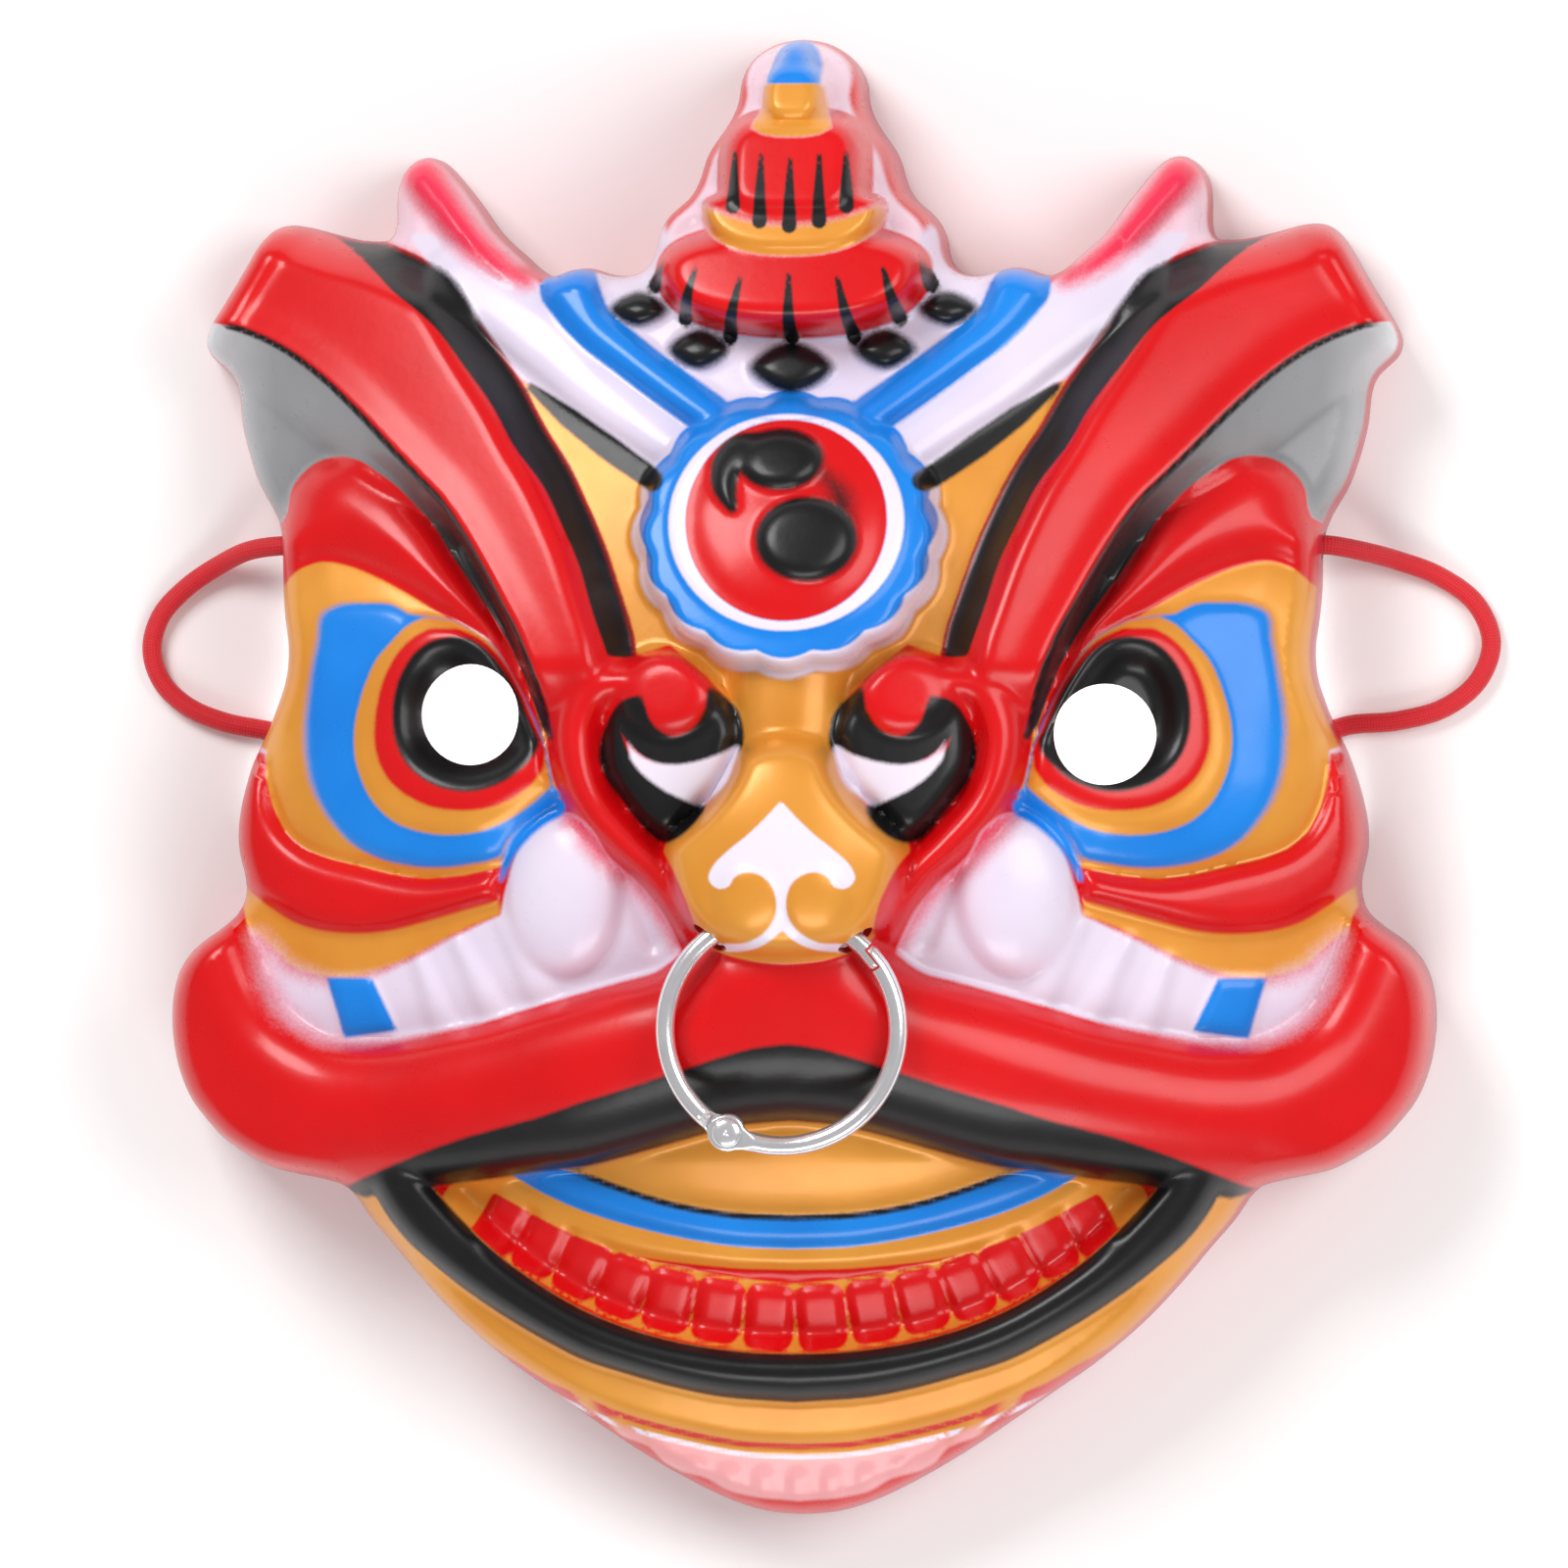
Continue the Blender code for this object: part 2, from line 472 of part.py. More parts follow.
def muzzle(x, y):
    """The upper lip, the nose, and the curl and collar beside it. Around them it lies below the
    face, which then shows."""
    in_lip = depth_in(x, y, mirrored(joined(LIP)))
    in_nose = depth_in(x, y, mirrored(joined(NOSE)))
    in_curl = depth_in(x, y, joined(CURL))
    in_collar = depth_in_stroke(x, y, COLLAR, COLLAR_HALF)
    in_bridge = depth_in_stroke(x, y, [(0, 22), (0, 2)], [9, 8])
    arch = np.clip(1 - ((x / NOSE_MIDDLE[1][0]) ** 2 + ((y - NOSE_MIDDLE[0][1]) / NOSE_MIDDLE[1][1]) ** 2), 0, 1)
    nose = NOSE_RISE * rounded(in_nose, 3.7) + NOSE_ARCH * arch
    nostril = 1.2 * rounded(depth_in_oval(x, y, (5.2, -18.6), (5.0, 5.4)), 4.0)
    head = HEAD_RISE * rounded(depth_in_oval(x, y, *CURL_HEAD), 6.8)
    beside = np.maximum(5.5 * rounded(in_curl, 3.2), COLLAR_RISE * rounded(in_collar, 4.2))
    beside = np.maximum(beside, head)
    rise = soft_max(LIP_RISE * rounded(in_lip, 11.5), beside, 1.0)
    rise = np.maximum(rise, 5.5 * rounded(in_bridge, 8.0))
    rise = np.where(in_nose > 0, np.maximum(rise, nose + nostril), rise)
    within = np.maximum.reduce([in_lip, in_nose, in_curl, in_collar, in_bridge])
    return np.where(within > 0, rise, -MUZZLE_ROOT)


def forehead(x, y, signed_x):
    rib = 3.6 * rounded(depth_in_stroke(x, y, RIB, RIB_HALF), 3.0)
    knob = 3.0 * rounded(depth_in_oval(x, y, (30.6, 76.6), (2.4, 2.0)), 2.0)
    sash = 2.0 * rounded(depth_in_stroke(x, y, SASH, SASH_HALF), 3.6)
    groove = 1.6 * ramp(depth_in_stroke(x, y, GROOVE, GROOVE_HALF), 1.8)
    ear = 2.2 * rounded(depth_in_stroke(x, y, EAR_EDGE, EAR_HALF), 2.4)
    studs = 0
    for middle, radii in STUDS:
        studs = studs + 3.0 * rounded(depth_in_stud(x, y, middle, radii), 2.4)
    bands = np.maximum(np.maximum(rib, knob), sash) - groove + ear + studs
    return np.maximum(bands, medal(x, y, signed_x))


def scalloped(x, y, middle, radii):
    """The depth inside an oval whose edge is a row of round petals."""
    turn = np.arctan2((y - middle[1]) / radii[1], (x - middle[0]) / radii[0])
    petal = np.abs(np.cos(turn * SCALLOPS / 2 - math.pi / 2 * SCALLOPS / 2))
    return depth_in_oval(x, y, middle, radii) - SCALLOP_DEPTH * (1 - petal)


def medal(x, y, signed_x):
    foot = ramp(scalloped(x, y, *MEDAL_FOOT), 2.4)
    rise = (MEDAL_RISE + 0.1 * (MEDAL[0][1] - y)) * foot
    ring = 0.9 * rounded(depth_in_oval(x, y, *MEDAL_RING), 0.9)
    boss = 2.8 * rounded(depth_in_oval(x, y, *MEDAL_BOSS), 13.0) - 0.9 * ramp(depth_in_oval(x, y, *MEDAL_BOSS), 0.8)
    heads = 0
    for middle, radii in SWIRL_HEADS:
        heads = np.maximum(heads, 2.2 * rounded(depth_in_oval(signed_x, y, middle, radii), 2.6))
    tail = 1.5 * rounded(depth_in_stroke(signed_x, y, SWIRL_TAIL, SWIRL_TAIL_HALF), 2.0)
    return rise + ring + boss + np.maximum(heads, tail)


def horn(x, y):
    """A stepped cone: a flared foot, a drum, a domed cap, a collar and a pointed tip."""
    tiers = np.zeros(len(x))
    for tier in (HORN_FOOT, HORN_DRUM, HORN_CAP, HORN_COLLAR, HORN_TIP):
        rise, edge = tier[5:]
        tiers = np.maximum(tiers, rise * rounded(depth_in_tier(x, y, tier), edge))
    return tiers


def tooth_places():
    """The middle and the lean of each tooth on the right side."""
    line = smooth_run(TOOTH_ROW, 0.25)
    along = np.concatenate([[0], np.cumsum(np.linalg.norm(np.diff(line, axis=0), axis=1))])
    at = TOOTH_PITCH[0] / 2
    for i in range(TEETH_A_SIDE):
        place = np.array([np.interp(at, along, line[:, k]) for k in (0, 1)])
        ahead = np.array([np.interp(at + 1, along, line[:, k]) for k in (0, 1)])
        share = i / (TEETH_A_SIDE - 1)
        yield place, math.atan2(*(ahead - place)[::-1]), 1 - 0.1 * share, 1 - 0.12 * share
        at += TOOTH_PITCH[0] + (TOOTH_PITCH[1] - TOOTH_PITCH[0]) * min(1, share * 2)


def teeth(x, y):
    """The depth inside the nearest tooth, a small rounded block."""
    depth = np.full(len(x), -FAR)
    for place, lean, wide, tall in tooth_places():
        u = (x - place[0]) * math.cos(lean) + (y - place[1]) * math.sin(lean)
        v = (y - place[1]) * math.cos(lean) - (x - place[0]) * math.sin(lean)
        corner = 1.6
        a = np.abs(u) - TOOTH_HALF[0] * wide + corner
        b = np.abs(v) - TOOTH_HALF[1] * tall + corner
        outside = np.hypot(np.maximum(a, 0), np.maximum(b, 0)) + np.minimum(np.maximum(a, b), 0)
        depth = np.maximum(depth, corner - outside)
    return depth


def mouth(x, y):
    """The palate, two bowed bands, the teeth, the black lower lip and the fringed chin."""
    palate, blue, gold, gum, chin = (
        above_arc(x, y, arc, [(arc[-1][0] + 2, -57), (0, -46)])
        for arc in (PALATE_ARC, BLUE_ARC, GOLD_ARC, GUM_ARC, CHIN_ARC)
    )
    beard = above_arc(x, y, BEARD_ARC, [(62, -80), (85, -57), (0, -46)])
    hollow = -GUM_DEPTH * ramp(gum, 3.0)
    bands = 3.5 * rounded(palate, 12.0)
    bands = bands + 2.0 * rounded(np.minimum(blue, -palate), 2.4) + 1.6 * rounded(np.minimum(gold, -blue), 1.7)
    bite = TEETH_RISE * rounded(teeth(x, y), 1.1)
    lower_lip = LOWER_LIP_RISE * rounded(np.minimum(chin, -gum), 4.0)
    step = BEARD_RISE * rounded(beard, 2.6)
    pleats = PLEAT_RISE * ramp(-beard - 3, 2) * ramp(-88 - y, 6) * np.cos(math.pi * x / PLEAT) ** 2
    return hollow + bands + bite + lower_lip + step + pleats


def rim_rise(x, y):
    """The rim lies flat, and arches up at the temples to let the elastic pass under it."""
    arch = np.exp(-((y - ARCH_MIDDLE) / ARCH_REACH) ** 4)
    return arch * ramp(x - 55, 12)


def carved(x, y):
    """Height over the rim's plane, and depth inside the rim, in grid units."""
    side = np.abs(x)
    face = ground(side, y) + brows(side, y) + eyes(side, y) + cheeks(side, y)
    face = face + forehead(side, y, x) + horn(side, y) + mouth(side, y)
    return soft_max(face, ground(side, y) + muzzle(side, y), 0.6)


def even_loop(loop, step):
    """A closed outline sampled again at even steps."""
    closed = np.concatenate([loop, loop[:1]])
    along = np.concatenate([[0], np.cumsum(np.linalg.norm(np.diff(closed, axis=0), axis=1))])
    at = np.linspace(0, along[-1], max(8, round(along[-1] / step)), endpoint=False)
    return np.stack([np.interp(at, along, closed[:, k]) for k in (0, 1)], 1)


def rim_line():
    """The rim in metres, with its corners eased."""
    loop = even_loop(mirrored(joined(RIM, 1.0)) * (UNIT_X, UNIT_Y), RELIEF_STEP)
    for _ in range(2):
        loop = (np.roll(loop, 1, 0) + 2 * loop + np.roll(loop, -1, 0)) / 4
    low, high = loop.min(0), loop.max(0)
    return (loop - (low + high) / 2) * (MASK_WIDTH, MASK_HEIGHT) / (high - low)


RIM_LINE = rim_line()


# The shell: an outer skin, an inner skin a wall's thickness below it, and a flat rim between them
def wall_share(depth):
    """How much of the face's height is reached at a depth inside the rim."""
    t = 1 - np.clip(depth / WALL_RUN, 0, 1)
    return (1 - t ** WALL_SQUARENESS) ** (1 / WALL_SQUARENESS)


class Bed:
    """The face's height on a square grid, and the height of a face a wall's thickness below it."""

    def __init__(self):
        reach = np.array([MASK_WIDTH, MASK_HEIGHT]) / 2 + 0.004
        self.low = -reach
        xs, ys = (np.arange(-r, r + BED_STEP, BED_STEP) for r in reach)
        gx, gy = np.meshgrid(xs, ys, indexing="ij")
        face = carved(gx.ravel() / UNIT_X, gy.ravel() / UNIT_Y).reshape(gx.shape) * UNIT_Z
        self.inner = face - WALL
        cells = int(WALL / BED_STEP)
        for i in range(-cells, cells + 1):
            for j in range(-cells, cells + 1):
                aside = (i * i + j * j) * BED_STEP ** 2
                if aside <= WALL ** 2:
                    ball = math.sqrt(WALL ** 2 - aside)
                    self.inner = np.minimum(self.inner, np.roll(face, (i, j), (0, 1)) - ball)

    def inside_face(self, x, y):
        u, v = (x - self.low[0]) / BED_STEP, (y - self.low[1]) / BED_STEP
        i = np.clip(u.astype(int), 0, self.inner.shape[0] - 2)
        j = np.clip(v.astype(int), 0, self.inner.shape[1] - 2)
        u, v = u - i, v - j
        a = self.inner[i, j] * (1 - u) + self.inner[i + 1, j] * u
        b = self.inner[i, j + 1] * (1 - u) + self.inner[i + 1, j + 1] * u
        return a * (1 - v) + b * v


def rim_height(x, y):
    """The rim's height, with the spare below the rim's plane that is trimmed off flat."""
    return rim_rise(np.abs(x) / UNIT_X, y / UNIT_Y) * TEMPLE_ARCH - RIM_TRIM


def outer_skin(x, y, depth):
    rim = rim_height(x, y)
    return rim + (carved(x / UNIT_X, y / UNIT_Y) * UNIT_Z - rim) * wall_share(depth)


def inner_skin(bed, x, y, depth):
    rim = rim_height(x, y)
    return rim + (bed.inside_face(x, y) - rim) * wall_share(depth - WALL)


def inside_rim(x, y):
    return depth_in(x, y, RIM_LINE, 0.02)


def loop_inside(loop, depth, step):
    """The line a depth inside the rim, found by moving a loop that lies near it."""
    nudge = 1e-5
    for _ in range(4):
        loop = even_loop(loop, step)
        here = inside_rim(loop[:, 0], loop[:, 1])
        slope = np.stack([
            inside_rim(loop[:, 0] + nudge, loop[:, 1]) - here,
            inside_rim(loop[:, 0], loop[:, 1] + nudge) - here,
        ], 1) / nudge
        loop = loop + (depth - here)[:, None] * slope
    return even_loop(loop, step)


def lattice(step):
    """Points in even rows, each row half a step aside from the last."""
    rows = []
    for n, y in enumerate(np.arange(-MASK_HEIGHT / 2, MASK_HEIGHT / 2, step * math.sqrt(3) / 2)):
        xs = np.arange(-MASK_WIDTH / 2, MASK_WIDTH / 2, step) + (n % 2) * step / 2
        rows.append(np.stack([xs, np.full(len(xs), y)], 1))
    return np.concatenate(rows)


def plan(loops, field):
    """Triangles inside the first loop, with edges along every loop."""
    points, edges = [], []
    for loop in loops:
        first = sum(len(p) for p in points)
        count = len(loop)
        edges += [(first + i, first + (i + 1) % count) for i in range(count)]
        points.append(loop)
    points = np.concatenate(points + [field])
    verts, _, faces, _, _, _ = delaunay_2d_cdt([Vector(p) for p in points], edges, [], 0, 1e-7)
    flat = np.array([v[:] for v in verts])
    faces = np.array(faces)
    middles = flat[faces].mean(1)
    return flat, faces[depth_in(middles[:, 0], middles[:, 1], loops[0], 0.02) > 0]


def skin_plan(loops, step):
    """The plan of one skin: its loops near the rim, and even points within the last of them."""
    field = lattice(step)
    last = inside_rim(*loops[-1][:1].T)[0]
    return plan(loops, field[inside_rim(*field.T) > last + 0.5 * step])


def mask_mesh():
    bed = Bed()
    run = np.roll(RIM_LINE, -1, 0) - np.roll(RIM_LINE, 1, 0)
    inward = np.stack([run[:, 1], -run[:, 0]], 1) / np.linalg.norm(run, axis=1)[:, None]
    if inside_rim(*(RIM_LINE[:1] + inward[:1] * WALL).T)[0] < 0:
        inward = -inward
    outside = [RIM_LINE, RIM_LINE + inward * 0.03 * WALL_RUN]
    for share in (0.12, 0.3, 0.6, 1.0):
        outside.append(loop_inside(outside[-1], share * WALL_RUN, RELIEF_STEP))
    inside = [loop_inside(outside[-2], WALL, INSIDE_STEP)]
    for share in (0.05, 0.25, 0.6, 1.0):
        inside.append(loop_inside(inside[-1], WALL + share * WALL_RUN, INSIDE_STEP))
    mesh = bmesh.new()
    rims = []
    for loops, step, skin in (
        (outside, RELIEF_STEP, lambda x, y, depth: outer_skin(x, y, depth)),
        (inside, INSIDE_STEP, lambda x, y, depth: inner_skin(bed, x, y, depth)),
    ):
        flat, faces = skin_plan(loops, step)
        height = skin(*flat.T, inside_rim(*flat.T))
        height[:len(loops[0])] = rim_height(*loops[0].T)
        verts = [mesh.verts.new((*p, z)) for p, z in zip(flat, height)]
        for face in faces:
            mesh.faces.new([verts[i] for i in face])
        rims += verts[:len(loops[0])]
    flat, faces = plan([outside[0], inside[0]], np.empty((0, 2)))
    middles = flat[faces].mean(1)
    for face in faces[depth_in(*middles.T, inside[0], 0.02) < 0]:
        mesh.faces.new([rims[i] for i in face])
    bmesh.ops.recalc_face_normals(mesh, faces=mesh.faces)
    return mesh


# Objects
def add(name, mesh, finish, origin=(0, 0, 0), smooth=True):
    """An object from a mesh in the mask's own frame, with its origin where it turns."""
    bmesh.ops.translate(mesh, verts=mesh.verts, vec=-Vector(origin))
    data = bpy.data.meshes.new(name)
    mesh.to_mesh(data)
    mesh.free()
    made = bpy.data.objects.new(name, data)
    made.location = origin
    bpy.context.scene.collection.objects.link(made)
    if finish:
        data.materials.append(finish)
    if smooth:
        data.shade_smooth()
        data.set_sharp_from_angle(angle=math.radians(38))
    return made


def rod(middle, direction, across, length):
    """A round bar about its middle, for a hole or a pin."""
    mesh = bmesh.new()
    turn = Vector((0, 0, 1)).rotation_difference(Vector(direction)).to_matrix().to_4x4()
    bmesh.ops.create_cone(
        mesh, cap_ends=True, segments=HOLE_SIDES, radius1=across / 2, radius2=across / 2, depth=length,
        matrix=Matrix.Translation(Vector(middle)) @ turn,
    )
    return mesh


def slab(middle, size):
    mesh = bmesh.new()
    bmesh.ops.create_cube(mesh, size=1, matrix=Matrix.Translation(middle) @ Matrix.Diagonal((*size, 1)))
    return mesh


def cut(target, name, mesh):
    cutter = add(name, mesh, None, smooth=False)
    cutter.hide_render = True
    cutter.display_type = "WIRE"
    hole = target.modifiers.new(name, "BOOLEAN")
    hole.operation = "DIFFERENCE"
    hole.solver = "EXACT"
    hole.object = cutter


def ring_frame():
    """The ring's middle, and the directions across it, up it and square to it."""
    tilt = math.radians(RING_TILT_DEG)
    across = np.array([1.0, 0.0, 0.0])
    up = np.array([0.0, math.cos(tilt), -math.sin(tilt)])
    pivot = np.array([RING_SIDE * UNIT_X, NOSE_HOLES_Y * UNIT_Y, RING_AXIS_RISE * UNIT_Z])
    return pivot - RING_DROP * up, across, up, np.cross(across, up)


def nose_holes():
    """Where the ring's wire passes through each side of the nose, and the way each hole runs.
    Each hole slopes with the wire at half its swing, so that the ring can swing from end to end."""
    middle, across, up, square = ring_frame()
    radius = (RING_OUTSIDE - RING_WIRE) / 2
    reach = math.sqrt(radius ** 2 - RING_DROP ** 2)
    half = math.radians(RING_SWING_DEG / 2)
    for side in (-1, 1):
        place = middle + side * reach * across + RING_DROP * up
        along = (RING_DROP * across - side * reach * (math.cos(half) * up - math.sin(half) * square)) / radius
        yield place, along


def make_mask(finish):
    mask = add("mask_shell", mask_mesh(), finish)
    coarser = mask.modifiers.new("coarser", "DECIMATE")
    coarser.ratio = RELIEF_SHARE
    thick = 10 * RIM_TRIM
    cut(mask, "cut_rim", slab((0, 0, -thick / 2), (1.1 * MASK_WIDTH, 1.1 * MASK_HEIGHT, thick)))
    for x, y in EYE_HOLES:
        place = (x * UNIT_X, y * UNIT_Y, MASK_DEPTH / 2)
        cut(mask, "cut_eye", rod(place, (0, 0, 1), EYE_HOLE, MASK_DEPTH * 1.5))
    for place, along in nose_holes():
        cut(mask, "cut_nose", rod(place, along, RING_HOLE, 5 * WALL))
    for side in (-1, 1):
        place = (side * TEMPLE_HOLE[0] * UNIT_X, TEMPLE_HOLE[1] * UNIT_Y, TEMPLE_HOLE_RISE)
        cut(mask, "cut_temple", rod(place, (1, 0, 0), CORD_HOLE, 5 * WALL))
    return mask


def ring_half(name, finish, turn, level, lap_side, origin):
    """Half of the ring, from its flat eye at the rivet to its lapped end at the snap. turn is the
    way it runs round, level the side of the ring its eye lies on, lap_side the side its lap is on."""
    middle, across, up, square = ring_frame()
    radius = (RING_OUTSIDE - RING_WIRE) / 2
    wire = RING_WIRE / 2
    eye = KNUCKLE / 2
    gap = RING_CLEARANCE / 2
    sweep = (SNAP_ANGLE_DEG - RIVET_ANGLE_DEG) % 360 if turn > 0 else (RIVET_ANGLE_DEG - SNAP_ANGLE_DEG) % 360
    length = math.radians(sweep) * radius
    tip, shoulder = length + SNAP_LAP / 2 - gap, length - SNAP_LAP / 2 - gap
    flat_end = eye + 2 * gap
    round_start = flat_end + wire
    eye_stops = [-eye * math.cos(math.radians(a)) for a in range(15, 180, 15)]
    count = round((shoulder - round_start) / WIRE_STEP)
    stops = [s for s in eye_stops if s < eye * 0.8] + [flat_end] + list(np.linspace(round_start, shoulder, count))
    stops += [shoulder + gap / 4, tip - wire / 2, tip]
    mesh = bmesh.new()
    rings = []
    for s in stops:
        blend = min(1.0, max(0.0, (s - flat_end) / (round_start - flat_end)))
        half_wide = math.sqrt(max(eye ** 2 - s ** 2, 0))
        if s > 0:
            half_wide = max(half_wide, wire)
        low = gap + (-wire - gap) * blend
        half_thick, lift = (wire - low) / 2, level * (wire + low) / 2
        if s == tip:
            half_wide, half_thick = 0.75 * half_wide, 0.75 * half_thick
        square_off = 0.45 + 0.55 * blend
        angle = math.radians(RIVET_ANGLE_DEG) + turn * s / radius
        outward = math.cos(angle) * across + math.sin(angle) * up
        ring = []
        for k in range(WIRE_SIDES):
            around = 2 * math.pi * (k + 0.5) / WIRE_SIDES
            c, d = math.cos(around), math.sin(around)
            wide = half_wide * math.copysign(abs(c) ** square_off, c)
            thick = half_thick * math.copysign(abs(d) ** square_off, d) + lift
            if s > shoulder:
                wide = lap_side * max(gap, lap_side * wide)
            ring.append(mesh.verts.new(middle + (radius + wide) * outward + thick * square))
        rings.append(ring)
    for a, b in zip(rings, rings[1:]):
        for k in range(WIRE_SIDES):
            n = (k + 1) % WIRE_SIDES
            mesh.faces.new([a[k], a[n], b[n], b[k]])
    mesh.faces.new(rings[0][::-1])
    mesh.faces.new(rings[-1])
    bmesh.ops.recalc_face_normals(mesh, faces=mesh.faces)
    half = add(name, mesh, finish, origin)
    cut(half, "cut_" + name, rod(rivet_place(), square, RIVET_SHANK + 2 * RING_CLEARANCE, 3 * RING_WIRE))
    return half


def rivet_place():
    middle, across, up, _ = ring_frame()
    angle = math.radians(RIVET_ANGLE_DEG)
    return middle + (RING_OUTSIDE - RING_WIRE) / 2 * (math.cos(angle) * across + math.sin(angle) * up)


def make_rivet(finish, origin):
    """A headed pin through both eyes, turned about the line square to the ring."""
    _, across, up, square = ring_frame()
    seat = RING_WIRE / 2 + RING_CLEARANCE / 2
    profile = [
        (RIVET_SHANK / 2, seat), (RIVET_HEAD / 2, seat), (RIVET_HEAD * 0.46, seat + RIVET_HEAD_RISE * 0.55),
        (RIVET_HEAD * 0.28, seat + RIVET_HEAD_RISE * 0.93),
    ]
    outline = [(r, -h) for r, h in profile[::-1]] + profile
    mesh = bmesh.new()
    rings = []
    for r, h in outline:
        ring = []
        for k in range(WIRE_SIDES + 4):
            around = 2 * math.pi * k / (WIRE_SIDES + 4)
            out = math.cos(around) * across + math.sin(around) * up
            ring.append(mesh.verts.new(rivet_place() + r * out + h * square))
        rings.append(ring)
    for a, b in zip(rings, rings[1:]):
        for k in range(len(a)):
            n = (k + 1) % len(a)
            mesh.faces.new([a[k], a[n], b[n], b[k]])
    mesh.faces.new(rings[0][::-1])
    mesh.faces.new(rings[-1])
    bmesh.ops.recalc_face_normals(mesh, faces=mesh.faces)
    return add("ring_rivet", mesh, finish, origin)


def knot_middle(side):
    inside = TEMPLE_HOLE[0] * UNIT_X - WALL - CORD_CLEARANCE - KNOT / 2
    return np.array([side * inside, TEMPLE_HOLE[1] * UNIT_Y, TEMPLE_HOLE_RISE])


def make_knot(name, side, finish):
    """A small overhand knot pulled tight: a ball with the cord's three turns standing out of it."""
    strand = CORD / 2
    core = KNOT / 2 - strand
    t = np.linspace(0, 2 * math.pi, 90, endpoint=False)
    turns = np.stack([np.sin(t) + 2 * np.sin(2 * t), np.cos(t) - 2 * np.cos(2 * t), -1.6 * np.sin(3 * t)], 1)
    turns = turns / np.linalg.norm(turns, axis=1)[:, None]
    mesh = bmesh.new()
    bmesh.ops.create_icosphere(mesh, subdivisions=3, radius=1)
    for vert in mesh.verts:
        way = np.array(vert.co[:])
        along = max(float((turns @ way).max()), 0.0)
        aside = core * math.sqrt(max(1 - along ** 2, 0))
        reach = core * along + math.sqrt(max(strand ** 2 - aside ** 2, 0))
        vert.co = way * max(reach, core + 0.35 * strand)
    bmesh.ops.translate(mesh, verts=mesh.verts, vec=Vector(knot_middle(side)))
    return add(name, mesh, finish)


def elastic_line():
    """The elastic's middle line, from the knot in one temple to the knot in the other."""
    rest = CORD / 2
    inner = KNOT / 2 + CORD_CLEARANCE
    route = [knot_middle(-1) - (inner, 0, 0)]
    for x, y, share in ELASTIC_LEFT + ELASTIC_RIGHT:
        route.append(np.array([x * UNIT_X, y * UNIT_Y, rest + share * (TEMPLE_HOLE_RISE - rest)]))
    route.append(knot_middle(1) + (inner, 0, 0))
    smooth = smooth_run(route, CORD / 6)
    along = np.concatenate([[0], np.cumsum(np.linalg.norm(np.diff(smooth, axis=0), axis=1))])
    at = np.linspace(0, along[-1], round(along[-1] / ELASTIC_STEP) + 1)
    return np.stack([np.interp(at, along, smooth[:, k]) for k in range(3)], 1)


def make_elastic(finish):
    line = elastic_line()
    curve = bpy.data.curves.new("elastic_cord", "CURVE")
    curve.dimensions = "3D"
    curve.bevel_depth = CORD / 2
    curve.bevel_resolution = 2
    curve.use_fill_caps = True
    spline = curve.splines.new("POLY")
    spline.points.add(len(line) - 1)
    for point, place in zip(spline.points, line):
        point.co = (*place, 1)
    cord = bpy.data.objects.new("elastic_cord", curve)
    curve.materials.append(finish)
    bpy.context.scene.collection.objects.link(cord)
    return cord


def main():
    clear_scene()
    red_plastic = material("red_plastic", (0.72, 0.02, 0.03), 0.3)
    steel = material("steel", (0.78, 0.78, 0.8), 0.22, 1.0)
    red_elastic = material("red_elastic", (0.6, 0.02, 0.03), 0.7)
    make_mask(red_plastic)
    middle, _, up, _ = ring_frame()
    pivot = middle + RING_DROP * up
    ring_half("ring_half_captive", steel, -1, -1, -1, pivot)
    ring_half("ring_half_gate", steel, 1, 1, 1, rivet_place())
    make_rivet(steel, pivot)
    make_elastic(red_elastic)
    make_knot("elastic_knot_left", -1, red_elastic)
    make_knot("elastic_knot_right", 1, red_elastic)


main()
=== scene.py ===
# %% [markdown]
# # A lion dance face mask
# A deep plastic face mask with a carved and sprayed lion face, a steel nose ring and an elastic.
# The mask lies face up on a pale floor, and the camera looks down on it.

# %% Start
import math

import bmesh
import bpy
import numpy as np
from mathutils import Matrix, Vector
from mathutils.geometry import delaunay_2d_cdt


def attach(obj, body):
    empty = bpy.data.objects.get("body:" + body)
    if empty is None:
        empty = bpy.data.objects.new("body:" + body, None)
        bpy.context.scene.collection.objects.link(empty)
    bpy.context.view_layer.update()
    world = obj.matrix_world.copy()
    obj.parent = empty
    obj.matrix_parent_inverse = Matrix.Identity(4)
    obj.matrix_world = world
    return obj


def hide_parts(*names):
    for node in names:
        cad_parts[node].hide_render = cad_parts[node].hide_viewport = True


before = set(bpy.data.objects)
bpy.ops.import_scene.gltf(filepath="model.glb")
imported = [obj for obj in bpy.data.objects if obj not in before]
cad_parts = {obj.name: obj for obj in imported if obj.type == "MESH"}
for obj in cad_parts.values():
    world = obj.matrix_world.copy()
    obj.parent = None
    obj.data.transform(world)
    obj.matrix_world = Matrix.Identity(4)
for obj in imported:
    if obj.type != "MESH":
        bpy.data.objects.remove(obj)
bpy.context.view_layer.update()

print("CAD nodes:", sorted(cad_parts))


# %% [markdown]
# ## Camera, floor and light
# The camera comes first, so that every piece can be judged from where the photograph was taken.
# A close camera would make the high nose and medal look too large for the rim. This one stands
# well over two metres above the mask, with a long lens. It stands a little to the right, which
# moves the nose left against the rim, as in the photograph. Three wide lamps and a pale room give
# the soft light of a studio.

# %% Camera
CAMERA_RISE = 2.4
CAMERA_SIDE = 0.137
CAMERA_SHARE = 0.2384
CAMERA_AIM = (-0.0017, -0.0011, 0.03)

